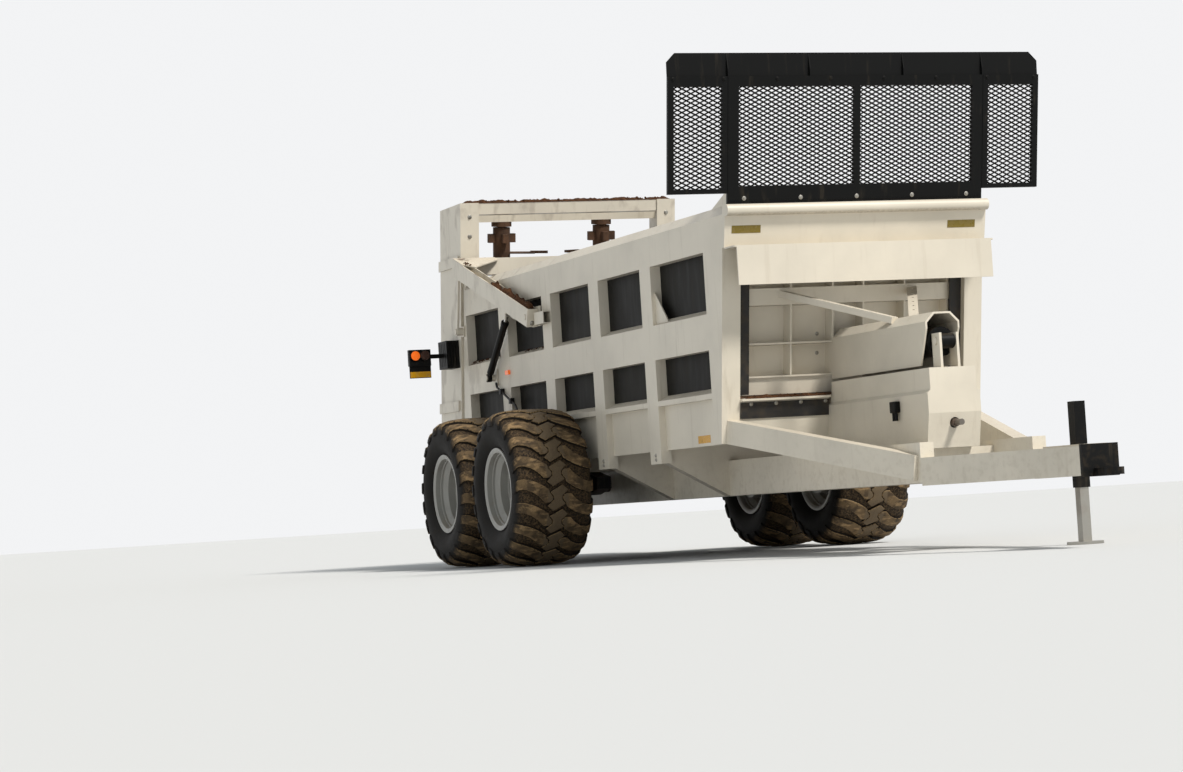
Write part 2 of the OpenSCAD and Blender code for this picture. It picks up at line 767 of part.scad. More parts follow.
// Frame of the guard screen in one folded sheet, with its seams, flanges and hood
module guard_frame() {
    ahead = guard_off;
    back = guard_off - guard_t;
    color(black_paint) place() {
        difference() {
            union() {
                xz_plate(leaned(guard_low, fold_z, ahead, back), -mid_half, 2 * mid_half);
                both_sides() xz_plate(leaned(guard_z, fold_z, ahead, back), -guard_half, guard_half - mid_half + 1);
            }
            both_sides() {
                for (f = guard_fields) xz_plate(leaned(f[2], f[3], ahead + 1, back - 1), -f[1], f[1] - f[0]);
                xz_plate(leaned(guard_low - 1, fold_z + 1, ahead + 1, ahead - 4), -mid_half - seam_w / 2, seam_w);
            }
            xz_plate(leaned(guard_low + 8, guard_low + 25, ahead + 1, ahead - 4), -mid_half, 2 * mid_half);
        }
        guard_hood();
    }
}

module guard_hood() {
    cut = 70;
    hood_t = 8;
    ribs = [mid_half, mid_half * 0.37];
    translate([lean_x(fold_z) + guard_off - guard_t + hood_t, 0, fold_z - 3]) rotate([0, lean - 7, 0]) {
        rotate([90, 0, -90]) linear_extrude(hood_t) polygon([
            [-guard_half, 0], [guard_half, 0], [guard_half, hood_h - cut], [guard_half - cut, hood_h],
            [-guard_half + cut, hood_h], [-guard_half, hood_h - cut]]);
        both_sides() for (y = ribs)
            translate([0, -y, 0]) rotate([90, 0, 0]) mirror([0, 0, 1]) linear_extrude(8)
                polygon([[0, 0], [guard_t - 8, 0], [guard_t - 8, hood_h / 3], [0, hood_h]]);
    }
}

// Openings of a field in staggered rows, on a sheet drawn flat from its lower corner
module mesh_sheet(w, h, cols) {
    px = w / cols;
    pz = h / mesh_rows;
    a = px / 2 - mesh_strand / 2;
    c = pz / 2 - mesh_strand / 6;
    difference() {
        square([w, h]);
        for (j = [0 : mesh_rows - 1]) for (i = [0 : cols - 1])
            translate([(i + 0.5) * px, (j + 0.5) * pz]) polygon([[-a, 0], [0, -c], [a, 0], [0, c]]);
        for (j = [1 : mesh_rows - 1]) for (i = [1 : cols - 1])
            translate([i * px, j * pz]) polygon([[-a, 0], [0, -c], [a, 0], [0, c]]);
    }
}

// Sheets of expanded metal in the guard's fields, in wide openings
module guard_mesh() {
    color(black_paint) place() both_sides() for (f = guard_fields) {
        z0 = f[2] + mesh_gap + mesh_t * slope;
        translate([lean_x(z0) + guard_off - guard_t / 2, -f[1] + mesh_gap, z0])
            rotate([0, lean, 0]) rotate([90, 0, 90]) linear_extrude(mesh_t)
                mesh_sheet(f[1] - f[0] - 2 * mesh_gap, (f[3] - mesh_gap - z0) / cos(lean), f[4]);
    }
}

push_half = inner_y - push_gap;
push_low = floor_z + 10;
rib_off = -push_back;
skin_off = rib_off - rib_d;
pad_x = lean_x(ram_z + 90) + skin_off + 20;

// Heights of the push gate's shelves and Y of its upright ribs
shelf_low = 1400;
shelf_mid = 1655;
beam_low = 1960;
beam_high = 2090;
rib_rows = [nose_half, 500, 880, push_half];

// Ribbed wall that pushes the load, with its pockets open ahead
module push_gate() {
    bands = [[shelf_low + rib_t, shelf_mid], [shelf_mid + rib_t, beam_low], [beam_high, push_top_z - rib_t]];
    ahead = rib_off + 1;
    color(cream) place() {
        difference() {
            xz_plate(leaned(push_low, push_top_z, rib_off, skin_off - rib_t), -push_half, 2 * push_half);
            xz_plate(leaned(push_low - 1, shelf_low, ahead, rib_off - 20), -push_half - 1, 2 * push_half + 2);
            for (r = bands) {
                xz_plate(leaned(r[0], r[1], ahead, skin_off), -nose_half + rib_t, 2 * (nose_half - rib_t));
                both_sides() for (i = [1 : len(rib_rows) - 1])
                    xz_plate(leaned(r[0], r[1], ahead, skin_off), -rib_rows[i] + rib_t,
                             rib_rows[i] - rib_rows[i - 1] - rib_t);
            }
        }
        xz_plate([[pad_x, ram_z - 90], [pad_x, ram_z + 90],
                  [lean_x(ram_z + 90) + skin_off - 5, ram_z + 90],
                  [lean_x(ram_z - 90) + skin_off - 5, ram_z - 90]], -90, 180);
    }
}

nose_len = pedestal_len - 110;
nose_bevel = 70;

// Section of the nose in Y and Z, drawn in by a wall
function nose_section(t) =
    let (h = nose_half - t, top = nose_top_z - t, b = nose_bevel - t * 0.4, low = nose_low_z - t)
    [[-h, low], [-h, top - b], [-h + b, top], [h - b, top], [h, top - b], [h, low]];

// Folded housing over the push cylinder, open ahead and below
module push_nose() {
    color(cream) place() difference() {
        yz_bar(nose_section(0), -400, nose_len);
        yz_bar(nose_section(rib_t), -401, nose_len + 1);
        xz_plate(leaned(nose_low_z - 50, nose_top_z + 50, rib_off, -900), -nose_half - 1, 2 * nose_half + 2);
        xz_plate([[nose_len - 120, nose_low_z - 1], [nose_len + 1, nose_top_z - 120],
                  [nose_len + 1, nose_low_z - 1]], -nose_half - 1, 2 * nose_half + 2);
    }
}

// Two drilled braces from the push gate's beam down to the nose
module push_braces() {
    beam_mid = (beam_low + beam_high) / 2;
    top = [lean_x(beam_mid) + rib_off, -560, beam_mid + 15];
    low = [nose_len - 640, -nose_half + 45, nose_top_z - 5];
    run = low - top;
    reach = norm(run);
    color(cream) place() both_sides() difference() {
        translate(top) rotate([0, 0, atan2(run[1], run[0])]) rotate([0, -asin(run[2] / reach), 0]) difference() {
            translate([-60, -38, -25]) cube([reach + 90, 76, 50]);
            for (x = [110 : 150 : reach - 100]) translate([x, 0, 0]) cylinder(h = 60, d = 24);
            translate([120, -28, -26]) cube([reach - 240, 56, 38]);
        }
        xz_plate(leaned(1800, 2300, rib_off, -600), -900, 900);
        yz_bar(nose_section(0), -400, nose_len);
    }
}

barrel_x1 = anchor_x - 70;
stage_count = 4;
plug_t = 20;
stage_x0 = pad_x + 15;

function stage_d(i) = barrel_d - i * stage_step;
function stage_x1(i) = barrel_x1 - plug_t * i;

// A tube of the push cylinder, closed ahead and open behind
module tube_stage(i) {
    difference() {
        rod_x(stage_x0, stage_x1(i), 0, ram_z, stage_d(i));
        rod_x(stage_x0 - 1, stage_x1(i + 1) + tube_gap, 0, ram_z, stage_d(i + 1) + 2 * tube_gap);
    }
}

module push_barrel() {
    color(black_paint) place() {
        tube_stage(0);
        difference() {
            union() {
                block(barrel_x1, anchor_x, -50, 50, ram_z - 50, ram_z + 50);
                rod_y(anchor_x, ram_z, 110, -anchor_slot + 5, anchor_slot - 5);
            }
            rod_y(anchor_x, ram_z, anchor_d + 1, -100, 100);
        }
    }
}

module push_stage(i) {
    color(silver) place() tube_stage(i);
}

module push_ram() {
    color(silver) place() rod_x(pad_x, stage_x1(stage_count), 0, ram_z, stage_d(stage_count));
}

gate_pin_x = lean_x(gate_pin_z) + gate_off;
gate_low_z = floor_z - 60;
lug_y = half_w + 5;
lug_t = 10;

// Sliding endgate with its stiffeners, and the lugs and bosses of the lift links
module endgate() {
    shelves = [gate_low_z, 1600, 2000, gate_top_z - 60];
    fields = 3;
    pitch = (2 * gate_half - 12) / fields;
    color(cream) place() {
        difference() {
            xz_plate(leaned(gate_low_z, gate_top_z, gate_off, gate_off - gate_t), -gate_half, 2 * gate_half);
            for (i = [0 : 2]) for (k = [0 : fields - 1])
                xz_plate(leaned(shelves[i] + 60, shelves[i + 1], gate_off - 12, gate_off - gate_t - 1),
                         -gate_half + 12 + k * pitch, pitch - 12);
        }
        both_sides() {
            z0 = gate_pin_z - 50;
            z1 = gate_pin_z + 50;
            xz_plate(leaned(z0, z1, gate_off - 4, gate_off - gate_t + 4), -lug_y, lug_y - gate_half + 5);
            xz_plate(leaned(z0, z1, gate_off + 40, gate_off - gate_t + 4), -lug_y - lug_t, lug_t);
            rod_y(gate_pin_x, gate_pin_z, eye_d, -arm_mid_y + link_t / 2 + pin_gap, -lug_y - 2);
        }
    }
}

web = arm_w / 2 - arm_wall;
link_t = 20;
arm_end = 50;
arm_front = 60;
tip_slot = arm_end + 80;

// Two arms of folded troughs, and the beam that joins their tips
module lift_frame() {
    color(cream) place() {
        both_sides() {
            difference() {
                translate([-arm_pivot_x, -arm_mid_y, arm_pivot_z]) rotate([0, arm_slope, 0]) arm_trough();
                rod_y(-arm_pivot_x, arm_pivot_z, pin_bore, -arm_y - arm_w - 5, -arm_y + 5);
            }
            rod_y(arm_tip_x, arm_tip_z, pin_d, -arm_mid_y - web, -arm_mid_y + web);
            arm_bosses(arm_tip_x, arm_tip_z, link_t / 2 + pin_gap);
            arm_bosses(cyl_eye_x, cyl_eye_z, eye_w / 2 + pin_gap);
        }
        difference() {
            block(arm_tip_x - 60, arm_tip_x + 60, -arm_y, arm_y, arm_tip_z - 72, arm_tip_z + arm_h - 75);
            block(arm_tip_x - 50, arm_tip_x + 50, -arm_y - 1, arm_y + 1, arm_tip_z - 62, arm_tip_z + arm_h - 85);
        }
    }
}

// Bosses inside a lift arm that hold an eye between them
module arm_bosses(x, z, half) {
    rod_y(x, z, pin_d + 24, -arm_mid_y - web, -arm_mid_y - half);
    rod_y(x, z, pin_d + 24, -arm_mid_y + half, -arm_mid_y + web);
}

// Trough along -X from its pivot, open above and closed at the pivot, with its floor cut open for
// the link and the cylinder, ears for the cylinder, and a corner sheet across its tip
module arm_trough() {
    low = arm_h / 2 - 2;
    h = arm_w / 2;
    tip = -arm_len - arm_end;
    front = arm_front;
    sheet_z = arm_h - low - 2;
    difference() {
        union() {
            translate([tip, -h, -low]) cube([front - tip, arm_w, arm_h]);
            translate([-670, -h, -150]) cube([140, arm_w, 80]);
        }
        translate([tip - 1, -web, arm_wall - low]) cube([front - arm_wall - tip + 1, 2 * web, arm_h]);
        translate([tip - 1, -web, -low - 1]) cube([tip_slot + 1, 2 * web, arm_wall + 2]);
        translate([-680, -web, -151]) cube([160, 2 * web, 152 + arm_wall - low]);
    }
    xy_plate([[tip + 2, 2 - h], [tip + 300, 2 - h], [tip + 420, h - 2], [tip + arm_end + 60, h + 330], [tip + 2, h + 330]],
             sheet_z, arm_wall);
    translate([0, h - 1, -low]) rotate([90, 0, 0]) linear_extrude(arm_wall - 2)
        polygon([[tip + 20, 4], [tip + 130, 4], [tip + 90, -55], [tip + 50, -55]]);
}

module link(sy) {
    t = link_t;
    run = [gate_pin_x - arm_tip_x, gate_pin_z - arm_tip_z];
    turn = atan2(run[1], run[0]);
    y0 = -arm_mid_y - t / 2;
    color(shade_cream) place() on_side(sy) difference() {
        union() {
            rod_y(arm_tip_x, arm_tip_z, eye_d, y0, y0 + t);
            rod_y(gate_pin_x, gate_pin_z, eye_d, y0, y0 + t);
            rod_y(gate_pin_x, gate_pin_z, pin_d + 16, y0 - 12, y0);
            translate([arm_tip_x, y0, arm_tip_z]) rotate([0, -turn, 0]) translate([0, 0, -28]) cube([norm(run), t, 56]);
        }
        rod_y(arm_tip_x, arm_tip_z, pin_bore, y0 - 5, y0 + t + 5);
    }
}

lift_rod_d = 34;
lift_bore = lift_rod_d + 2 * tube_gap;

// Stands children at the foot of a lift cylinder, with X along it
module at_lift_foot(sy) {
    place() on_side(sy) translate([cyl_base_x, -arm_mid_y, cyl_base_z]) rotate([0, -cyl_angle, 0]) children();
}

module lift_eye() {
    rotate([90, 0, 0]) cylinder(h = eye_w, d = eye_d, center = true);
}

module eye_bore() {
    rotate([90, 0, 0]) cylinder(h = eye_w + 10, d = pin_bore, center = true);
}

module lift_barrel(sy) {
    color(black_paint) at_lift_foot(sy) difference() {
        union() {
            lift_eye();
            translate([0, -16, -24]) cube([90, 32, 48]);
            rod_x(70, cyl_span - 130, 0, 0, lift_d);
            rod_x(cyl_span - 160, cyl_span - 130, 0, 0, lift_d + 8);
        }
        eye_bore();
        rod_x(110, cyl_span, 0, 0, lift_bore);
    }
}

module lift_rod(sy) {
    color(silver) at_lift_foot(sy) {
        rod_x(120, cyl_span - 20, 0, 0, lift_rod_d);
        translate([cyl_span, 0, 0]) lift_eye();
    }
}

unit_x = lean_x(beater_floor) + beater_off;
unit_len = (rear_top_z - beam_h - beater_floor) / cos(lean) - 20;
deck_t = 60;
shield_y = half_w - shield_t;

// Height of the underside of the spreading unit's deck at an X
function deck_low(x) = beater_floor - deck_t / cos(lean) - slope * (x - unit_x);

// Posts, beams and deck of the spreading unit
module rear_frame() {
    z0 = side_z + 60;
    post_top = rear_top_z - beam_h;
    foot_x0 = flange_off - 30;
    foot_x1 = flange_off - 170;
    color(cream) place() {
        both_sides() {
            xz_plate(leaned(z0, rear_top_z, flange_off, flange_off - 14), -half_w, post_face);
            xz_plate(leaned(beater_floor + 20, post_top - seam, flange_off - 13, flange_off - 60),
                     -half_w + post_face - 14, 14);
            xz_plate([[foot_x0, rail_top], [foot_x0, deck_low(foot_x0)], [foot_x1, deck_low(foot_x1)],
                      [foot_x1, rail_top]], -rail_y, rail_w);
        }
        xz_plate(leaned(post_top, rear_top_z, flange_off - 14 - seam, flange_off - 110), -shield_y, 2 * shield_y);
        along_lean(beater_off, beater_floor) {
            translate([-170, -shield_y, -deck_t])
                cube([170 + (beater_back - 14 - 2 * seam) * cos(lean), 2 * shield_y, deck_t]);
            translate([-90, -shield_y, unit_len]) cube([180, 2 * shield_y, beam_h - 20]);
        }
    }
}

module rear_shields() {
    color(shade_cream) place() both_sides() {
        xz_plate(leaned(side_z, rear_top_z, flange_off - 14, shield_off), -half_w, shield_t);
        for (z = [1500, 2900])
            xz_plate(leaned(z, z + 100, flange_off - 40, shield_off), -half_w - 20, 20);
    }
}

core_d = 80;

// Beater about its own axis at the origin, Z along the axis, wound by hand
module beater_solid(hand) {
    z0 = beater_lift;
    z1 = unit_len - 60;
    r = beater_tube / 2;
    rise = (z1 - 260 - z0) / flight_steps;
    difference() {
        union() {
            translate([0, 0, z0]) cylinder(h = z1 - z0, d = beater_tube);
            translate([0, 0, z0]) cylinder(h = 20, r = disc_r);
            for (a = [0 : 90 : 270]) rotate([0, 0, a]) translate([r - 4, -28, z1 - 150]) cube([58, 56, 88]);
            for (a = [0 : 90 : 270]) rotate([0, 0, a]) translate([r - 4, -8, z0 + 20]) cube([disc_r - r, 16, 110]);
            for (i = [0 : flight_steps - 1])
                rotate([0, 0, hand * i * 50]) translate([0, 0, z0 + 140 + i * rise]) flight_blade();
        }
        translate([0, 0, -1]) cylinder(h = unit_len + 2, d = core_d + 2 * tube_gap);
    }
}

module flight_blade() {
    r = beater_tube / 2;
    translate([r - 4, -90, 0]) cube([250, 180, 12]);
    translate([r + 200, -30, 0]) cube([beater_r - r - 205, 60, 24]);
}

module beater(sy) {
    color(brown_steel) place() along_lean(beater_off, beater_floor) translate([0, sy * beater_y, 0]) beater_solid(sy);
}

drive_x = flange_off - 338;

// Fixed cores, bearings and gearbox of the two beaters
module beater_drives() {
    color(black_paint) place() {
        along_lean(beater_off, beater_floor) {
            both_sides() translate([0, -beater_y, 0]) {
                cylinder(h = unit_len, d = core_d);
                cylinder(h = beater_lift - 6, d = 240);
                translate([0, 0, unit_len - 50]) cylinder(h = 50, d = 200);
            }
            translate([-140, -beater_y - 170, -deck_t - 220]) cube([280, 2 * beater_y + 340, 220]);
        }
        rod_x(drive_x - 60, drive_x, 0, shaft_z, 130);
    }
}

// Shaft from the front input to the beaters' gearbox, with the stub that a tractor's shaft slides on
module drive_shaft() {
    color(steel) place() {
        rod_x(drive_x + 0.5, pedestal_len + 12, 0, shaft_z, shaft_d);
        rod_x(pedestal_len + 10, pedestal_len + 12 + stub_len, 0, shaft_z, input_d);
    }
}

tip_y = 90;
tip_w = 90;
tongue_x = hitch_x - 250;

// Y of the tongue rail's outer face at an X ahead of the main rails
function tongue_face(x) =
    rail_y + (x - rail_front) / (tongue_x - rail_front) * (tip_y + tip_w / 2 - rail_y);

// Rails that close in on the hitch, and the beams down from the front corners
module tongue() {
    z0 = rail_z - 20;
    corner = [0, -half_w + 95, side_z + 90];
    foot = [rail_front - 60, -rail_y + 20, rail_z + 110];
    color(cream) place() {
        both_sides() {
            xy_plate([[rail_front, -rail_y], [rail_front, -rail_y + rail_w],
                      [tongue_x, -tip_y + tip_w / 2], [tongue_x, -tip_y - tip_w / 2]], z0, 200);
            difference() {
                beam_between(corner, foot, 110, 182);
                block(-600, rail_front, -rail_y, 0, rail_z - 300, 1500);
                xz_plate(leaned(side_z - 300, side_z + 400, 0, -600), -half_w, half_w);
                block(rail_front, rail_front + 400, -half_w, 0, 0, 1500);
            }
        }
        block(tongue_x, tongue_x + 50, -tip_y - tip_w / 2, tip_y + tip_w / 2, z0, z0 + 200);
        xy_plate([[tongue_x - 420, -tip_y - 60], [tongue_x + 30, -tip_y], [tongue_x + 30, tip_y],
                  [tongue_x - 420, tip_y + 60]], z0 + 198, 14);
    }
}

// Box-section beam whose centre line joins two points
module beam_between(a, b, w, h) {
    run = b - a;
    reach = norm(run);
    translate(a) rotate([0, 0, atan2(run[1], run[0])]) rotate([0, -asin(run[2] / reach), 0])
        translate([-60, -w / 2, -h / 2]) cube([reach + 60, w, h]);
}

module hitch_eye() {
    x0 = tongue_x + 50;
    color(black_paint) place() difference() {
        union() {
            block(x0, x0 + 30, -140, 140, rail_z - 30, rail_z + 190);
            block(x0 + 30, hitch_x, -55, 55, hitch_z - hitch_t / 2, hitch_z + hitch_t / 2);
            translate([hitch_x, 0, hitch_z - hitch_t / 2]) cylinder(h = hitch_t, r = hitch_eye_r);
        }
        translate([hitch_x, 0, hitch_z - 100]) cylinder(h = 200, r = hitch_bore_r);
    }
}

jack_wall = 9;
jack_low = 400;
jack_top = 1010;
jack_half = jack_leg_s / 2 + tube_gap + jack_wall;
jack_y = tongue_face(jack_x - jack_half) + 15 + jack_half;

// Outer tube of the jack with the saddle that seats on the tongue rail
module jack_tube() {
    x0 = jack_x - jack_half;
    x1 = jack_x + jack_half;
    inner = jack_half - jack_wall;
    color(black_paint) place() {
        xy_plate([[x0, tongue_face(x0)], [x1, tongue_face(x1)], [x1, jack_y - jack_half], [x0, jack_y - jack_half]],
                 rail_z, 160);
        difference() {
            block(x0, x1, jack_y - jack_half, jack_y + jack_half, jack_low, jack_top);
            block(jack_x - inner, jack_x + inner, jack_y - inner, jack_y + inner, jack_low - 1, jack_top - 15);
        }
    }
}

module jack_leg() {
    s = jack_leg_s / 2;
    color(silver) place() {
        block(jack_x - s, jack_x + s, jack_y - s, jack_y + s, 20, jack_top - 20 - jack_travel);
        translate([jack_x, jack_y, 0]) cylinder(h = 20, d = jack_foot_d);
    }
}

lamp_x = lean_x(2060) + flange_off - 190;
lamp_z = 2050;

module lamp_housings() {
    box = 130;
    arm = 260;
    color(black_paint) place() both_sides() {
        difference() {
            block(lamp_x - box, lamp_x + box, -half_w - box, -half_w, lamp_z - box, lamp_z + box + 10);
            for (x = [-78 : 52 : 78]) block(lamp_x + x - 6, lamp_x + x + 6, -half_w - box - 1, -half_w - box + 8,
                                            lamp_z - box + 22, lamp_z + box - 12);
            for (y = [35 : 30 : 95]) block(lamp_x + box - 8, lamp_x + box + 1, -half_w - y - 5, -half_w - y + 5,
                                           lamp_z - box + 22, lamp_z + box - 12);
        }
        block(lamp_x - 30, lamp_x + 10, -half_w - arm, -half_w - box, lamp_z - 20, lamp_z + 20);
        difference() {
            block(lamp_x - 30, lamp_x + 20, -half_w - 480, -half_w - arm, lamp_z - 90, lamp_z + 70);
            block(lamp_x + 10, lamp_x + 21, -half_w - 472, -half_w - arm - 8, lamp_z - 40, lamp_z + 62);
        }
    }
}

// Side marker lamps: X of the middle of each, and their height
marker_rows = [-box_len + 1480];
marker_z = (win_low_z + win_low_h + win_up_z) / 2;

module lamp_lenses() {
    color(amber) place() both_sides() {
        for (y = [318, 418]) rod_x(lamp_x + 10, lamp_x + 30, -half_w - y, lamp_z + 11, 92);
        for (x = marker_rows) block(x - 45, x + 45, -half_w - 22, -half_w - seam, marker_z - 20, marker_z + 20);
    }
}

front_x = -axle_x;
rear_x = -axle_x - axle_pitch;

main_frame();
tongue();
hitch_eye();
jack_tube();
jack_leg();
load_floor();
color(cream) place() side_frame();  // side_right
color(cream) place() mirror([0, 1, 0]) side_frame();  // side_left
color(poly_black) place() liner();  // liner_right
color(poly_black) place() mirror([0, 1, 0]) liner();  // liner_left
front_wall();
lower_front();
seal_strips();
pedestal();
guard_frame();
guard_mesh();
push_gate();
push_nose();
push_braces();
push_barrel();
push_stage(1);  // push_stage_1
push_stage(2);  // push_stage_2
push_stage(3);  // push_stage_3
push_ram();
endgate();
lift_frame();
link(-1);  // link_right
link(1);  // link_left
lift_barrel(-1);  // lift_barrel_right
lift_barrel(1);  // lift_barrel_left
lift_rod(-1);  // lift_rod_right
lift_rod(1);  // lift_rod_left
rear_frame();
rear_shields();
beater(-1);  // beater_right
beater(1);  // beater_left
beater_drives();
drive_shaft();
walking_beams();
tyre(-1, front_x);  // tyre_front_right
tyre(-1, rear_x);  // tyre_rear_right
tyre(1, front_x);  // tyre_front_left
tyre(1, rear_x);  // tyre_rear_left
rim(-1, front_x);  // rim_front_right
rim(-1, rear_x);  // rim_rear_right
rim(1, front_x);  // rim_front_left
rim(1, rear_x);  // rim_rear_left
lamp_housings();
lamp_lenses();
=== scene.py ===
"""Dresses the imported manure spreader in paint, plastic, rubber and dirt, and adds its fine pieces."""

from __future__ import annotations

import json
import logging
import math
import random
from dataclasses import dataclass, field
from enum import Enum
from typing import Any, Sequence

import bmesh
import bpy
from mathutils import Euler, Matrix, Vector, noise

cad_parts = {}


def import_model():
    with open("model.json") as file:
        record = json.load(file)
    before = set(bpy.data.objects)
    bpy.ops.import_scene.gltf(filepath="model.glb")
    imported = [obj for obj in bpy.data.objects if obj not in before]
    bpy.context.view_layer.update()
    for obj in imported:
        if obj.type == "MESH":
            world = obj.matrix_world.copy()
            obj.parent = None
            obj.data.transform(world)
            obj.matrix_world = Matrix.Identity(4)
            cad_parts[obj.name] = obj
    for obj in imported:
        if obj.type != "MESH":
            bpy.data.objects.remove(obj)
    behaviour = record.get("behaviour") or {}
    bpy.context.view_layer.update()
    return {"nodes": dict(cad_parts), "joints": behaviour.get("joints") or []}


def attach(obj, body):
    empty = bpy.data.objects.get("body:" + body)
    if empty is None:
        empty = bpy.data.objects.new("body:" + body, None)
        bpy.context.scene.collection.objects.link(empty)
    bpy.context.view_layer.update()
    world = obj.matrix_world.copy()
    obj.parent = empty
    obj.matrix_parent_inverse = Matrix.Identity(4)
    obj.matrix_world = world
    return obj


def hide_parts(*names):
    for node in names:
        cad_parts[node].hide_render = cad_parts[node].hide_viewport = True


log = logging.getLogger("spreader")
Colour = tuple[float, float, float]
Spot = tuple[float, float, float]

# The box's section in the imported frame, in metres: its front plane leans forwards from the side rail up,
# and the plane of its rear posts stands parallel to it, moved by the back offset
FRONT_X = 1.697978
SIDE_Z = 0.900
HALF_WIDTH = 1.125
LEAN = math.radians(9.6)
FACE_OUT = (math.cos(LEAN), 0.0, -math.sin(LEAN))
BACK_OFFSET = -6.512

# How much the finer layers of a cloudy pattern show
CLOUD_ROUGHNESS = 0.55

# The bolt heads' widths across
SMALL_BOLT = 0.017
BOLT = 0.019
LARGE_BOLT = 0.024


def lean_x(height: float, offset: float = 0.0) -> float:
    """Returns the X of the leaned front plane at a height, moved by an offset."""
    return FRONT_X + math.tan(LEAN) * (height - SIDE_Z) + offset


def linear(colour: Colour) -> tuple[float, float, float, float]:
    """Turns a display colour into the linear one that shaders take.

    Args:
        colour: Red, green and blue from 0 to 1, as a screen shows them.

    Returns:
        The linear red, green and blue, and an alpha of 1.
    """
    parts = [c / 12.92 if c <= 0.04045 else ((c + 0.055) / 1.055) ** 2.4 for c in colour]
    return (parts[0], parts[1], parts[2], 1.0)


def shaded(colour: Colour, share: float) -> Colour:
    """Returns a colour darkened to a share of itself."""
    red, green, blue = (part * share for part in colour)
    return (red, green, blue)


class Sock:
    """A number that varies over a surface, on which Python's operators work."""

    def __init__(self, graph: Graph, socket: Any) -> None:
        """Keeps the graph and the socket or number that this value stands for."""
        self.graph = graph
        self.socket = socket

    def _math(self, operation: str, *others: Any) -> Sock:
        """Adds one Math node that works on this value and up to two others.

        Args:
            operation: The node's own word for what it does.
            *others: Further values or numbers that it takes.

        Returns:
            The node's result.
        """
        values = {0: self, **{i + 1: o for i, o in enumerate(others)}}
        return self.graph.node("ShaderNodeMath", {"operation": operation}, values)

    def __add__(self, other: Any) -> Sock:
        """Returns the sum."""
        return self._math("ADD", other)

    __radd__ = __add__

    def __sub__(self, other: Any) -> Sock:
        """Returns the difference."""
        return self._math("SUBTRACT", other)

    def __rsub__(self, other: Any) -> Sock:
        """Returns the other value less this one."""
        return (self * -1.0) + other

    def __mul__(self, other: Any) -> Sock:
        """Returns the product."""
        return self._math("MULTIPLY", other)

    def __pow__(self, other: Any) -> Sock:
        """Returns this value raised to a power."""
        return self._math("POWER", other)

    def __abs__(self) -> Sock:
        """Returns the size of this value without its sign."""
        return self._math("ABSOLUTE")

    def __and__(self, other: Any) -> Sock:
        """Returns the smaller of the two values."""
        return self._math("MINIMUM", other)

    def wave(self) -> Sock:
        """Returns the sine of this value."""
        return self._math("SINE")

    def step(self, low: float, high: float) -> Sock:
        """Turns the value into a smooth rise from 0 to 1, or a fall where low is the larger.

        Args:
            low: The value at which the result is 0.
            high: The value at which the result is 1.

        Returns:
            The result, held at 0 and 1 outside the two.
        """
        if low > high:
            return 1.0 - self.step(high, low)
        settings = {"interpolation_type": "SMOOTHSTEP"}
        values = {0: self, 1: low, 2: high, 3: 0.0, 4: 1.0}
        return self.graph.node("ShaderNodeMapRange", settings, values)


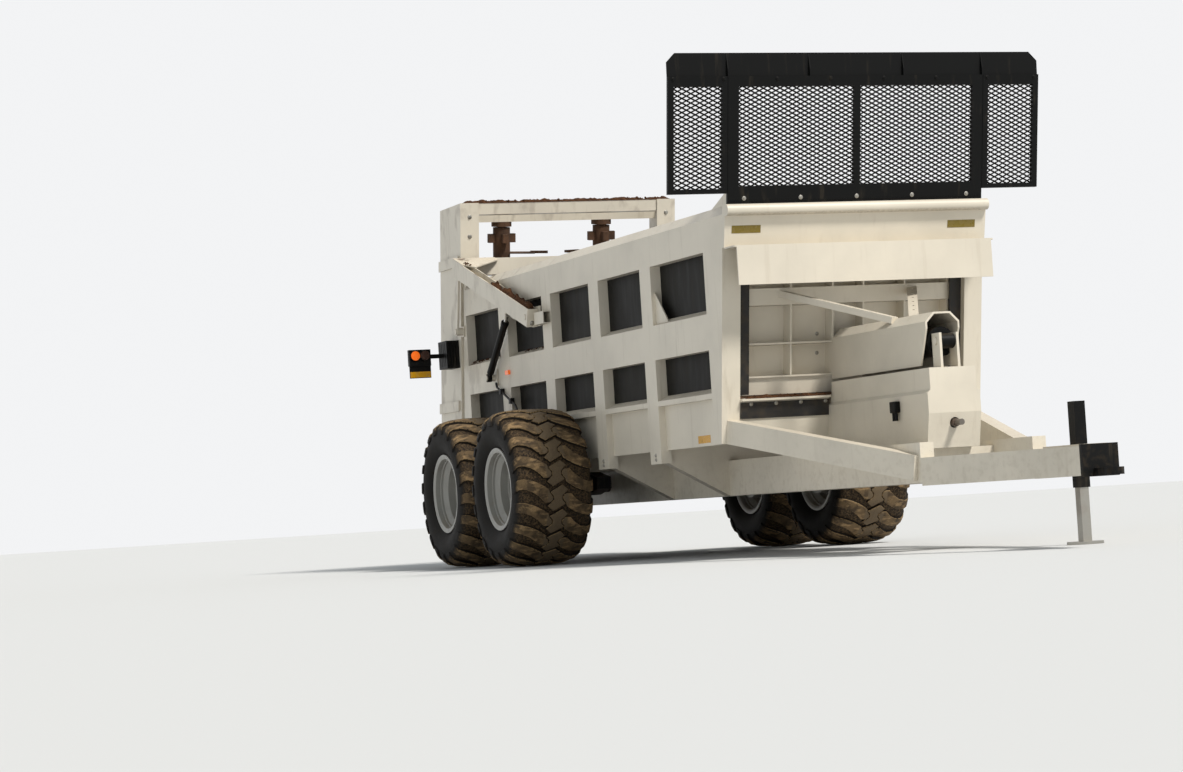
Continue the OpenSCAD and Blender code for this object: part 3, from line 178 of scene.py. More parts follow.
class Graph:
    """A material's nodes, built from values rather than by hand."""

    def __init__(self, name: str) -> None:
        """Starts an empty material with its output node.

        Args:
            name: The material's name.
        """
        self.material = bpy.data.materials.new(name)
        self.material.use_nodes = True
        self.tree = self.material.node_tree
        self.tree.nodes.clear()
        self.output = self.tree.nodes.new("ShaderNodeOutputMaterial")
        self.place = self.node("ShaderNodeTexCoord", {}, {}, "Object")

    def node(
        self, kind: str, settings: dict[str, Any], values: dict[Any, Any], result: str | int | None = None
    ) -> Sock:
        """Adds a node and returns one of its outputs.

        Args:
            kind: The node's type name.
            settings: Its own properties, set before its sockets.
            values: Values or links by socket name or number.
            result: The output's name or number, or None for the first that is enabled.

        Returns:
            The chosen output.
        """
        made = self.tree.nodes.new(kind)
        for key, value in settings.items():
            setattr(made, key, value)
        for key, value in values.items():
            target = made.inputs[key]
            source = value.socket if isinstance(value, Sock) else value
            if isinstance(source, bpy.types.NodeSocket):
                self.tree.links.new(source, target)
            else:
                target.default_value = source
        if result is None:
            return Sock(self, next(s for s in made.outputs if s.enabled))
        return Sock(self, made.outputs[result])

    def stretch(self, scale: Sequence[float]) -> Sock:
        """Returns the object's own coordinates, scaled along each axis."""
        return self.node("ShaderNodeMapping", {}, {"Vector": self.place, "Scale": tuple(scale)})

    def noise(self, scale: float, detail: float, where: Sock | None = None) -> Sock:
        """Adds a cloudy pattern.

        Args:
            scale: The number of clouds in a metre.
            detail: How many finer layers lie over the first.
            where: Stretched coordinates, or None for the object's own.

        Returns:
            A value from 0 to 1.
        """
        values = {"Vector": where or self.place, "Scale": scale, "Detail": detail}
        values["Roughness"] = CLOUD_ROUGHNESS
        return self.node("ShaderNodeTexNoise", {"noise_dimensions": "3D"}, values, 0)

    def cells(self, scale: float) -> Sock:
        """Returns the distance to the nearest of many scattered points, with this many to a metre."""
        values = {"Vector": self.place, "Scale": scale}
        return self.node("ShaderNodeTexVoronoi", {"feature": "F1"}, values, "Distance")

    def axis(self, letter: str) -> Sock:
        """Returns one of the object's own coordinates, in metres."""
        return self.node("ShaderNodeSeparateXYZ", {}, {0: self.place}, letter)

    def facing(self, letter: str) -> Sock:
        """Returns how far the surface faces along an axis, from -1 to 1."""
        normal = self.node("ShaderNodeNewGeometry", {}, {}, "Normal")
        return self.node("ShaderNodeSeparateXYZ", {}, {0: normal}, letter)

    def mix(self, factor: Sock, low: Sock | Colour, high: Sock | Colour) -> Sock:
        """Blends two colours.

        Args:
            factor: How much of the second colour shows, from 0 to 1.
            low: The first colour.
            high: The second colour.

        Returns:
            The blend.
        """
        first, second = (c if isinstance(c, Sock) else linear(c) for c in (low, high))
        settings = {"data_type": "RGBA", "clamp_factor": True}
        return self.node("ShaderNodeMix", settings, {0: factor, 6: first, 7: second}, 2)

    def bump(self, height: Sock, distance: float, strength: float, below: Sock | None = None) -> Sock:
        """Gives the surface a relief.

        Args:
            height: The relief, from 0 to 1.
            distance: How far the relief stands out, in metres.
            strength: How much of it shows, from 0 to 1.
            below: A relief under this one.

        Returns:
            A normal that follows the relief.
        """
        values: dict[Any, Any] = {"Strength": strength, "Distance": distance, "Height": height}
        if below is not None:
            values["Normal"] = below
        return self.node("ShaderNodeBump", {}, values)

    def finish(self, **values: Any) -> bpy.types.Material:
        """Ends the graph with a Principled shader.

        Args:
            **values: Its sockets by name, with _ for a blank.

        Returns:
            The finished material.
        """
        named = {k.replace("_", " "): v for k, v in values.items()}
        shader = self.node("ShaderNodeBsdfPrincipled", {}, named, 0)
        self.tree.links.new(shader.socket, self.output.inputs[0])
        return self.material


class Paint(Enum):
    """The coats of paint on the spreader, by display colour."""

    CREAM = (0.880, 0.850, 0.788)
    BLACK = (0.052, 0.055, 0.055)
    RIM_SILVER = (0.640, 0.636, 0.615)


@dataclass(frozen=True)
class PaintedSteel:
    """Sprayed paint on plate, with dust, run marks, splashed dirt near the ground, dirt and painted shade
    on faces turned down, and manure stains at the rear.
    """

    paint: Paint
    gloss: float = 0.38
    dust: float = 0.5
    # How much dirt lies low down, which also sets how dark the painted shade on faces turned down is
    mud_and_under_shade: float = 1.0
    stain: float = 0.0
    shine: float = 0.45
    run_colour: Colour = (0.62, 0.56, 0.47)
    dust_colour: Colour = (0.66, 0.58, 0.47)
    under_dirt_and_shade_colour: Colour = (0.34, 0.285, 0.225)
    splash_colour: Colour = (0.50, 0.43, 0.34)
    speck_colour: Colour = (0.36, 0.27, 0.18)
    stain_colour: Colour = (0.31, 0.20, 0.13)
    splash_z: tuple[float, float] = (1.15, 0.35)
    speck_z: tuple[float, float] = (2.3, 0.6)
    stain_x: tuple[float, float] = (-1.6, -4.6)

    def make(self, name: str) -> bpy.types.Material:
        """Builds the material.

        Args:
            name: The material's name.

        Returns:
            A material for any painted plate.
        """
        g = Graph(name)
        base = self.paint.value
        streaks = g.noise(3.0, 4.0, g.stretch((5.0, 5.0, 0.45)))
        patches = g.noise(1.6, 5.0)
        fine = g.noise(42.0, 4.0)
        colour = g.mix(patches.step(0.35, 0.75) * 0.55, base, shaded(base, 0.90))
        colour = g.mix(streaks.step(0.56, 0.80) * (0.34 * self.dust), colour, self.run_colour)
        up = g.facing("Z")
        lying = up.step(0.55, 0.95) * (0.35 + fine.step(0.3, 0.75) * 0.5) * self.dust
        colour = g.mix(lying * 0.55, colour, self.dust_colour)
        # Painted shade: faces turned down are darkened towards brown, partly dirt caught underneath and
        # partly the shade under the box
        under = up.step(-0.4, -0.95)
        colour = g.mix(under * (0.30 + fine.step(0.3, 0.7) * 0.25) * self.mud_and_under_shade, colour, self.under_dirt_and_shade_colour)
        height = g.axis("Z")
        splash = height.step(*self.splash_z) * g.noise(19.0, 6.0).step(0.46, 0.70) * self.mud_and_under_shade
        colour = g.mix(splash * 0.14, colour, self.splash_colour)
        specks = g.cells(60.0).step(0.13, 0.05) * g.noise(4.0, 2.0).step(0.5, 0.7)
        colour = g.mix(specks * height.step(*self.speck_z) * (0.5 * self.mud_and_under_shade), colour, self.speck_colour)
        crust = splash
        if self.stain > 0:
            rear = g.axis("X").step(*self.stain_x)
            spread = g.noise(5.0, 6.0, g.stretch((1.0, 1.0, 0.6))).step(0.52, 0.66)
            crust = (rear * spread * (0.3 + up.step(0.3, 0.9)) * self.stain) & 1.0
            colour = g.mix(crust * 0.85, colour, self.stain_colour)
        rough = (patches * 0.10 + self.gloss) + lying * 0.3 + crust * 0.3
        peel = g.bump(g.noise(240.0, 2.0), 0.0003, 0.35)
        return g.finish(
            Base_Color=colour, Roughness=rough, Normal=g.bump(g.noise(2.2, 2.0), 0.004, 0.35, peel),
            Specular_IOR_Level=self.shine, Coat_Weight=self.shine * 0.25, Coat_Roughness=0.22)


@dataclass(frozen=True)
class SheetPlastic:
    """Dark sheet plastic behind the windows and along the box, streaked by the load, with paler clouds that
    are partly scuffs and partly painted reflection.
    """

    colour: Colour = (0.062, 0.060, 0.054)
    scuff_and_reflection: Colour = (0.130, 0.126, 0.114)
    streaked: Colour = (0.285, 0.262, 0.225)

    def make(self, name: str) -> bpy.types.Material:
        """Builds the material.

        Args:
            name: The material's name.

        Returns:
            A material for the liners.
        """
        g = Graph(name)
        runs = g.noise(2.4, 5.0, g.stretch((4.0, 4.0, 0.6)))
        clouds = g.noise(1.3, 4.0)
        # Painted reflection: paler clouds over the dark sheet, partly scuffs and partly the sky mirrored in
        # it
        colour = g.mix(clouds.step(0.38, 0.66), self.colour, self.scuff_and_reflection)
        colour = g.mix(runs.step(0.52, 0.80) * 0.30, colour, self.streaked)
        rough = (runs * 0.35 + clouds * 0.25 + 0.22) & 0.9
        waves = g.bump(g.noise(5.0, 3.0), 0.004, 0.4)
        return g.finish(Base_Color=colour, Roughness=rough, Normal=waves, Specular_IOR_Level=0.10)


@dataclass(frozen=True)
class StripRubber:
    """Black sheet rubber, dusty where it is not rubbed."""

    colour: Colour = (0.115, 0.110, 0.105)
    dusty: Colour = (0.31, 0.27, 0.22)

    def make(self, name: str) -> bpy.types.Material:
        """Builds the material.

        Args:
            name: The material's name.

        Returns:
            A material for the strips, and for the plain tyres that no view shows.
        """
        g = Graph(name)
        dust = g.noise(11.0, 5.0).step(0.42, 0.75)
        colour = g.mix(dust * 0.5, self.colour, self.dusty)
        grain = g.bump(g.noise(120.0, 3.0), 0.0006, 0.5)
        return g.finish(Base_Color=colour, Roughness=dust * 0.2 + 0.62, Normal=grain)


@dataclass(frozen=True)
class TyreRubber:
    """Worn lug tops with a painted highlight on their edges, dusty grooves and dark flanks with painted
    shade, and dark walls. The mesh gives the height over the grooves' floors as "top".
    """

    hub: Spot
    radius: float
    tread: tuple[Colour, Colour] = ((0.300, 0.250, 0.188), (0.450, 0.374, 0.272))
    tread_streak: Colour = (0.64, 0.532, 0.385)
    tread_pit: Colour = (0.20, 0.165, 0.125)
    middle: tuple[Colour, Colour] = ((0.375, 0.325, 0.260), (0.455, 0.392, 0.305))
    middle_pit: Colour = (0.21, 0.18, 0.14)
    middle_reach: tuple[float, float] = (0.105, 0.085)
    groove_dust_and_shade: tuple[Colour, Colour] = ((0.130, 0.105, 0.078), (0.370, 0.300, 0.212))
    flank_rubber_and_shade: tuple[Colour, Colour] = ((0.080, 0.066, 0.052), (0.17, 0.135, 0.10))
    edge_dust_and_highlight: Colour = (0.60, 0.505, 0.365)
    wall: tuple[Colour, Colour] = ((0.052, 0.043, 0.032), (0.118, 0.096, 0.070))
    wall_drop: tuple[float, float] = (0.045, 0.105)

    def make(self, name: str) -> bpy.types.Material:
        """Builds the material.

        Args:
            name: The material's name.

        Returns:
            A material for both wheels whose hubs have this X and Z.
        """
        g = Graph(name)
        x = g.axis("X") - self.hub[0]
        z = g.axis("Z") - self.hub[2]
        r = (x * x + z * z) ** 0.5
        across = abs(abs(g.axis("Y")) - abs(self.hub[1]))
        top = g.node("ShaderNodeAttribute", {"attribute_name": "top"}, {}, "Fac")
        soft = g.noise(11.0, 5.0)
        clods = g.noise(60.0, 5.0)
        grain = g.noise(210.0, 3.0)
        streaks = g.noise(26.0, 5.0, g.stretch((1.0, 0.35, 1.0)))
        tread = g.mix(soft.step(0.38, 0.60), *self.tread)
        tread = g.mix(streaks.step(0.50, 0.64) * 0.70, tread, self.tread_streak)
        tread = g.mix(grain.step(0.50, 0.34) * 0.55, tread, self.tread_pit)
        middle = g.mix(soft, *self.middle)
        middle = g.mix(grain.step(0.52, 0.36) * 0.4, middle, self.middle_pit)
        tread = g.mix(across.step(*self.middle_reach), tread, middle)
        # Painted shade: the floors between the lugs are darkened as if shadowed, with dust in patches, and
        # the flanks are dark rubber darkened further as painted shade
        groove_dust_and_shade = g.mix((clods * 0.6 + grain * 0.4).step(0.42, 0.62), *self.groove_dust_and_shade)
        flank_rubber_and_shade = g.mix(clods * 0.5, *self.flank_rubber_and_shade)
        colour = g.mix(top.step(0.02, 0.25), groove_dust_and_shade, flank_rubber_and_shade)
        # Painted highlight: a pale, dusty line along the lugs' upper edges, partly dust and partly the
        # light that those edges catch
        colour = g.mix(top.step(0.62, 0.86) * clods.step(0.36, 0.52), colour, self.edge_dust_and_highlight)
        colour = g.mix(top.step(0.90, 0.99), colour, tread)
        wall = r.step(*(self.radius - drop for drop in self.wall_drop))
        dark = g.mix(soft.step(0.45, 0.75) * 0.6, *self.wall)
        colour = g.mix(wall, colour, dark)
        grit = g.bump(clods, 0.003, 0.5, g.bump(grain, 0.0012, 0.5))
        return g.finish(Base_Color=colour, Roughness=soft * 0.2 + 0.62, Normal=grit, Specular_IOR_Level=0.2)


@dataclass(frozen=True)
class BareMetal:
    """Uncoated steel: chromed rods, worn floor plate or shaft, by its colour and roughness."""

    colour: Colour
    rough: float
    soil: float
    bare: float = 0.50
    soil_colour: Colour = (0.33, 0.24, 0.17)

    def make(self, name: str) -> bpy.types.Material:
        """Builds the material.

        Args:
            name: The material's name.

        Returns:
            A material whose bare metal shows between patches of soil.
        """
        g = Graph(name)
        lines = g.noise(30.0, 3.0, g.stretch((0.6, 30.0, 30.0)))
        patch = g.noise(3.5, 5.0).step(self.bare, self.bare + 0.20) * self.soil
        colour = g.mix(lines.step(0.4, 0.7) * 0.3, self.colour, shaded(self.colour, 0.8))
        colour = g.mix(patch, colour, self.soil_colour)
        return g.finish(
            Base_Color=colour, Roughness=lines * 0.12 + self.rough + patch * 0.45, Metallic=1.0 - patch,
            Normal=g.bump(lines, 0.0004, 0.4))


@dataclass(frozen=True)
class RustedSteel:
    """Steel that manure keeps brown: rust, dried crust and a few rubbed places."""

    rust: tuple[Colour, Colour] = ((0.375, 0.262, 0.180), (0.255, 0.178, 0.126))
    fresh_rust: Colour = (0.47, 0.335, 0.222)
    rubbed_steel: Colour = (0.58, 0.54, 0.49)
    crust: float = 0.0064

    def make(self, name: str) -> bpy.types.Material:
        """Builds the material.

        Args:
            name: The material's name.

        Returns:
            A material for the beaters and their drives.
        """
        g = Graph(name)
        blotch = g.noise(6.0, 6.0)
        grain = g.noise(55.0, 5.0)
        colour = g.mix(blotch.step(0.3, 0.7), *self.rust)
        colour = g.mix(grain.step(0.55, 0.75) * 0.6, colour, self.fresh_rust)
        rubbed = g.noise(2.4, 3.0).step(0.62, 0.70)
        colour = g.mix(rubbed * 0.6, colour, self.rubbed_steel)
        relief = g.bump(blotch * 0.6 + grain * 0.4, self.crust, 0.6)
        return g.finish(
            Base_Color=colour, Roughness=0.86 - rubbed * 0.35, Metallic=rubbed * 0.6, Normal=relief)


@dataclass(frozen=True)
class LampPlastic:
    """Moulded lenses with fine ribs, lit faintly from within, apart from a band off the middle."""

    colour: Colour
    glow: float = 0.35
    unlit: tuple[float, float] = (1.38, 1.49)
    unlit_colour: Colour = (0.24, 0.12, 0.06)
    fade: float = 0.005
    rib_rate: float = 900.0

    def make(self, name: str) -> bpy.types.Material:
        """Builds the material.

        Args:
            name: The material's name.

        Returns:
            A material for the lenses on both sides.
        """
        g = Graph(name)
        ribs = (g.axis("Y") * self.rib_rate).wave() * 0.5 + (g.axis("Z") * self.rib_rate).wave() * 0.5
        colour = g.mix(g.noise(30.0, 3.0).step(0.45, 0.8) * 0.35, self.colour, shaded(self.colour, 0.55))
        off = abs(g.axis("Y"))
        inner, outer = self.unlit
        dark = off.step(inner, inner + self.fade) * off.step(outer + self.fade, outer)
        colour = g.mix(dark, colour, self.unlit_colour)
        light = g.mix(dark, self.colour, (0.0, 0.0, 0.0))
        return g.finish(
            Base_Color=colour, Roughness=0.16, Emission_Color=light, Emission_Strength=self.glow,
            Normal=g.bump(ribs, 0.0008, 0.5), Coat_Weight=0.5)


@dataclass(frozen=True)
class DriedManure:
    """Crumbly dried manure that lies on ledges."""

    clod: tuple[Colour, Colour] = ((0.225, 0.140, 0.086), (0.355, 0.235, 0.150))
    gap: Colour = (0.135, 0.084, 0.052)

    def make(self, name: str) -> bpy.types.Material:
        """Builds the material.

        Args:
            name: The material's name.

        Returns:
            A material for heaps and crumbs.
        """
        g = Graph(name)
        crumbs = g.cells(70.0)
        clods = g.noise(26.0, 6.0)
        colour = g.mix(clods.step(0.3, 0.7), *self.clod)
        colour = g.mix(crumbs.step(0.0, 0.35), self.gap, colour)
        relief = g.bump(clods + crumbs, 0.012, 0.8)
        return g.finish(Base_Color=colour, Roughness=0.95, Specular_IOR_Level=0.2, Normal=relief)


@dataclass(frozen=True)
class ReflectiveTape:
    """Glossy tape with a fine cell pattern, dulled by dust."""

    colour: Colour = (0.515, 0.440, 0.120)
    dusty: Colour = (0.50, 0.43, 0.27)

    def make(self, name: str) -> bpy.types.Material:
        """Builds the material.

        Args:
            name: The material's name.

        Returns:
            A material for strips of tape.
        """
        g = Graph(name)
        cell = g.cells(420.0).step(0.1, 0.5)
        colour = g.mix(cell * 0.4, self.colour, shaded(self.colour, 0.7))
        dust = g.noise(20.0, 4.0).step(0.45, 0.75)
        colour = g.mix(dust * 0.45, colour, self.dusty)
        return g.finish(Base_Color=colour, Roughness=dust * 0.3 + 0.25)


class Finishes:
    """Every finish on the spreader, built once and looked up by name."""

    def __init__(self, hubs: dict[str, Spot]) -> None:
        """Builds the materials.

        Args:
            hubs: The wheels' hubs by body. Two wheels that share an axle share their rubber.
        """
        cream, black, silver = Paint.CREAM, Paint.BLACK, Paint.RIM_SILVER
        self.cream = PaintedSteel(cream).make("cream_paint")
        self.stained = PaintedSteel(cream, dust=0.9, stain=0.9).make("cream_paint_stained")
        # Painted shade darkens the faces turned down on every painted plate, as strongly as its dirt near
        # the ground
        self.chassis = PaintedSteel(cream, dust=0.6, mud_and_under_shade=1.1).make("cream_paint_mud_and_painted_shade")
        self.black = PaintedSteel(black, gloss=0.42, dust=0.22, mud_and_under_shade=0.3, shine=0.12).make("black_paint")
        low = PaintedSteel(black, gloss=0.48, dust=0.45, mud_and_under_shade=0.7, shine=0.14)
        self.black_low = low.make("black_paint_mud_and_painted_shade")
        self.rim = PaintedSteel(silver, gloss=0.36, dust=0.9, mud_and_under_shade=0.7).make("rim_paint")
        self.plastic = SheetPlastic().make("sheet_plastic")
        self.strip = StripRubber().make("strip_rubber")
        worn = BareMetal((0.42, 0.39, 0.35), rough=0.50, soil=0.94, bare=0.26)
        self.floor_steel = worn.make("worn_floor_steel")
        self.shaft_steel = BareMetal((0.50, 0.48, 0.45), rough=0.40, soil=0.9).make("shaft_steel")
        self.chrome = BareMetal((0.80, 0.80, 0.79), rough=0.12, soil=0.15).make("hard_chrome")
        self.zinc = BareMetal((0.66, 0.65, 0.62), rough=0.34, soil=0.25).make("zinc_plate")
        self.rusty = RustedSteel().make("rusted_steel")
        self.amber = LampPlastic((0.95, 0.42, 0.06)).make("amber_lens")
        self.manure = DriedManure().make("dried_manure")
        self.yellow = ReflectiveTape((0.93, 0.68, 0.09)).make("yellow_tape")
        self.tape = ReflectiveTape().make("reflective_tape")
        self.rubber: dict[float, bpy.types.Material] = {}
        for hub in hubs.values():
            if hub[0] not in self.rubber:
                rubber = TyreRubber(hub, radius=hub[2])
                self.rubber[hub[0]] = rubber.make(f"tyre_rubber_{len(self.rubber)}")

    def dress(self, nodes: dict[str, bpy.types.Object]) -> None:
        """Gives each CAD node its finish, which is plain cream paint where no other is named.

        Args:
            nodes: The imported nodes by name.
        """
        by_start = {
            "guard": self.black, "jack_tube": self.black, "push_barrel": self.black,
            "lift_barrel": self.black, "lamp_housings": self.black, "hitch_eye": self.black_low,
            "walking_beams": self.black_low, "beater": self.rusty, "liner": self.plastic,
            "seal_strips": self.strip, "tyre": self.strip,
            "load_floor": self.floor_steel, "drive_shaft": self.shaft_steel, "jack_leg": self.zinc,
            "lamp_lenses": self.amber, "main_frame": self.chassis, "tongue": self.chassis,
            "rear_frame": self.stained, "rear_shields": self.stained, "endgate": self.stained,
            "lift_frame": self.stained, "side_": self.stained, "link_": self.stained,
            "push_stage": self.chrome, "push_ram": self.chrome, "lift_rod": self.chrome, "rim": self.rim,
        }
        for name, node in nodes.items():
            named = (finish for start, finish in by_start.items() if name.startswith(start))
            chosen = next(named, self.cream)
            for slot in node.material_slots:
                slot.material = chosen


class Shop:
    """Turns a bmesh into a finished piece that rides on a CAD body."""

    def __init__(self, finishes: Finishes) -> None:
        """Keeps the finishes and starts the list of the pieces made."""
        self.finishes = finishes
        self.made: list[bpy.types.Object] = []

    def piece(
        self, bm: bmesh.types.BMesh, name: str, finish: bpy.types.Material, body: str,
        stands_for: str | None = None, smooth: float | None = None
    ) -> None:
        """Makes a mesh object of a bmesh and fastens it to its body.

        Args:
            bm: The geometry, in metres, in the object's own frame. It is freed.
            name: The piece's name.
            finish: Its material.
            body: The CAD body that it moves with.
            stands_for: The CAD node that it replaces.
            smooth: The angle below which edges are shaded round, in degrees, or None for flat faces.
        """
        mesh = bpy.data.meshes.new(name)
        bm.to_mesh(mesh)
        bm.free()
        mesh.materials.append(finish)
        obj = bpy.data.objects.new(name, mesh)
        bpy.context.scene.collection.objects.link(obj)
        if smooth is not None:
            mesh.shade_smooth()
            mesh.set_sharp_from_angle(angle=math.radians(smooth))
        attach(obj, body)
        if stands_for:
            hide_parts(stands_for)
        self.made.append(obj)
        log.info("%s: %d faces on %s", name, len(mesh.polygons), body)


def add_box(
    bm: bmesh.types.BMesh, low: Sequence[float], high: Sequence[float], bevel: float = 0.0,
    turn: Matrix | None = None
) -> None:
    """Adds a box between two corners, with its edges broken and turned about its middle if asked.

    Args:
        bm: The geometry to add to.
        low: Its lowest corner.
        high: Its highest corner.
        bevel: The width of the broken edges.
        turn: A rotation about the box's middle.
    """
    middle = (Vector(low) + Vector(high)) / 2
    size = Vector(high) - Vector(low)
    place = Matrix.Translation(middle) @ (turn.to_4x4() if turn else Matrix.Identity(4))
    made = bmesh.ops.create_cube(bm, size=1.0, matrix=place @ Matrix.Diagonal((*size, 1.0)))
    if bevel > 0:
        edges = list({e for v in made["verts"] for e in v.link_edges})
        bmesh.ops.bevel(bm, geom=edges, offset=bevel, segments=2, profile=0.5, affect="EDGES", material=-1)


def turn_to(out: Sequence[float]) -> Matrix:
    """Returns the rotation that turns Z to a direction."""
    return Vector(out).normalized().to_track_quat("Z", "Y").to_matrix().to_4x4()


def add_rod(bm: bmesh.types.BMesh, radius: float, length: float, sides: int, place: Matrix) -> None:
    """Adds a round rod.

    Args:
        bm: The geometry to add to.
        radius: Its radius.
        length: Its length.
        sides: How many flat faces make its round.
        place: Where its middle lies, with Z along it.
    """
    bmesh.ops.create_cone(
        bm, cap_ends=True, segments=sides, radius1=radius, radius2=radius, depth=length, matrix=place)


def add_bolt(bm: bmesh.types.BMesh, place: Sequence[float], out: Sequence[float], size: float) -> None:
    """Adds a hexagon head on its washer.

    Args:
        bm: The geometry to add to.
        place: The point on the surface under the head.
        out: The direction that the head points in.
        size: The head's width.
    """
    base = Matrix.Translation(Vector(place)) @ turn_to(out)
    washer = (size * 0.95, -0.001, size * 0.12, 18)
    head = (size * 0.55, size * 0.1, size * 0.55, 6)
    for radius, low, high, sides in (washer, head):
        middle = base @ Matrix.Translation((0, 0, (low + high) / 2))
        made = bmesh.ops.create_cone(
            bm, cap_ends=True, segments=sides, radius1=radius, radius2=radius * 0.96, depth=high - low,
            matrix=middle)
        top = [e for v in made["verts"] for e in v.link_edges
               if all((base.inverted() @ w.co).z > high - 1e-6 for w in e.verts)]
        bmesh.ops.bevel(
            bm, geom=list(set(top)), offset=size * 0.06, segments=1, profile=0.5, affect="EDGES",
            material=-1)


def add_ring(
    bm: bmesh.types.BMesh, middle: Sequence[float], out: Sequence[float], radii: tuple[float, float],
    thick: float
) -> None:
    """Adds a flat ring with a hole, standing on a surface.

    Args:
        bm: The geometry to add to.
        middle: The ring's middle, on the surface.
        out: The direction that the ring faces.
        radii: Its inner and outer radius.
        thick: How far it stands out.
    """
    inner, outer = radii
    section = ((inner, 0, 0), (outer, 0, 0), (outer, 0, thick), (inner, 0, thick))
    corners = [bm.verts.new(p) for p in section]
    loop = [bm.edges.new((corners[i], corners[(i + 1) % 4])) for i in range(4)]
    before = set(bm.verts) - set(corners)
    bmesh.ops.spin(
        bm, geom=corners + loop, cent=(0, 0, 0), axis=(0, 0, 1), angle=math.tau, steps=32, use_merge=True)
    made = [v for v in bm.verts if v not in before]
    bmesh.ops.transform(bm, verts=made, matrix=Matrix.Translation(Vector(middle)) @ turn_to(out))
    bmesh.ops.recalc_face_normals(bm, faces=list({f for v in made for f in v.link_faces}))


@dataclass(frozen=True)
class Heap:
    """A lumpy strip of dried manure on a ledge, drawn flat with X along it and closed below."""

    length: float
    width: float
    height: float
    edge: float = 0.0
    rough: float = 0.45
    cell: float = 0.022
    end_slope: float = 3.0
    side_slope: float = 2.2
    least: float = 0.06
    base: float = -0.002

    def add(self, bm: bmesh.types.BMesh, place: Matrix, seed: float) -> None:
        """Adds the heap with the middle of its underside at a place.

        Args:
            bm: The geometry to add to.
            place: Where the underside's middle lies and how it is turned.
            seed: The number that sets its lumps apart from another heap's.
        """
        across = max(4, round(self.width / self.cell))
        along = max(4, round(self.length / self.cell))
        made = bmesh.ops.create_grid(bm, x_segments=along, y_segments=across, size=0.5)["verts"]
        for v in made:
            u, w = v.co.x * 2, v.co.y * 2
            spot = Vector((v.co.x * self.length, v.co.y * self.width, seed))
            end_fall = min(1.0, (1 - abs(u)) * self.length / self.height / self.end_slope + self.edge)
            side_fall = min(1.0, (1 - abs(w)) * self.side_slope + self.edge)
            lumps = noise.fractal(spot * 14, 0.8, 2.0, 4) + 0.5 * noise.noise(spot * 3)
            share = side_fall * end_fall * max(0.15, 1 + self.rough * (lumps - 1))
            v.co = (spot.x, spot.y, self.height * max(self.least, share))
        rim = [e for e in bm.edges if e.is_boundary]
        skirt = bmesh.ops.extrude_edge_only(bm, edges=rim)["geom"]
        low = [v for v in skirt if isinstance(v, bmesh.types.BMVert)]
        for v in low:
            v.co.z = self.base
        open_edges = [e for e in skirt if isinstance(e, bmesh.types.BMEdge) and e.is_boundary]
        bmesh.ops.holes_fill(bm, edges=open_edges, sides=0)
        bmesh.ops.transform(bm, verts=made + low, matrix=place)


@dataclass(frozen=True)
class Crumbs:
    """Crumbs of manure scattered over a flat patch: how many, and their smallest and largest radius."""

    count: int
    sizes: tuple[float, float]
    sunk: float = 0.35
    waist: tuple[float, float] = (0.6, 1.0)
    flat: tuple[float, float] = (0.5, 0.8)

    def add(
        self, bm: bmesh.types.BMesh, dice: random.Random, place: Matrix, reach: tuple[float, float]
    ) -> None:
        """Scatters the crumbs.

        Args:
            bm: The geometry to add to.
            dice: The source of chance.
            place: The patch's middle and turn, with Z off the surface.
            reach: Half the patch's length and width.
        """
        for _ in range(self.count):
            size = dice.uniform(*self.sizes)
            along, across = (dice.uniform(-half, half) for half in reach)
            spot = Matrix.Translation((along, across, size * self.sunk))
            spin = Euler([dice.uniform(0, math.tau) for _ in range(3)]).to_matrix().to_4x4()
            width, height = size * dice.uniform(*self.waist), size * dice.uniform(*self.flat)
            grow = Matrix.Diagonal((size, width, height, 1.0))
            bmesh.ops.create_icosphere(bm, subdivisions=1, radius=1.0, matrix=place @ spot @ spin @ grow)


@dataclass(frozen=True)
class Section:
    """Half of a tyre's section over its lugs, as widths and radii from the tread's middle to the bead."""

    points: tuple[tuple[float, float], ...] = (
        (0.0, 0.685), (0.080, 0.6845), (0.160, 0.681), (0.230, 0.674), (0.285, 0.663), (0.322, 0.646),
        (0.345, 0.622), (0.3555, 0.594), (0.3588, 0.560), (0.3585, 0.515), (0.350, 0.470), (0.335, 0.425),
        (0.316, 0.390), (0.296, 0.366))
    bead: tuple[tuple[float, float], ...] = ((0.2996, 0.3613), (0.2996, 0.3343))
    grooves: tuple[tuple[float, float], ...] = (
        (0.0, 0.030), (0.280, 0.030), (0.360, 0.024), (0.430, 0.012), (0.500, 0.0))

    def runs(self) -> list[float]:
        """Works out how far each point is from the middle of the tread.

        Returns:
            The length over the lugs' tops to each point.
        """
        total = [0.0]
        for a, b in zip(self.points, self.points[1:]):
            total.append(total[-1] + math.dist(a, b))
        return total

    def depth(self, run: float) -> float:
        """Works out the depth of the grooves.

        Args:
            run: The length across the lugs' tops, from the middle of the tread.

        Returns:
            The depth there.
        """
        for (r0, d0), (r1, d1) in zip(self.grooves, self.grooves[1:]):
            if abs(run) <= r1:
                return d0 + (d1 - d0) * (abs(run) - r0) / (r1 - r0)
        return 0.0

    def at(self, run: float, sunk: float) -> tuple[float, float]:
        """Works out a point of the section.

        Args:
            run: The length across the lugs' tops, from the middle of the tread.
            sunk: How far the point lies below them.

        Returns:
            The point's width from the middle and its radius.
        """
        left = abs(run)
        for a, b in zip(self.points, self.points[1:]):
            step = math.dist(a, b)
            if left <= step:
                break
            left -= step
        along = ((b[0] - a[0]) / step, (b[1] - a[1]) / step)
        width = a[0] + along[0] * left + along[1] * sunk
        return math.copysign(width, run), a[1] + along[1] * left - along[0] * sunk


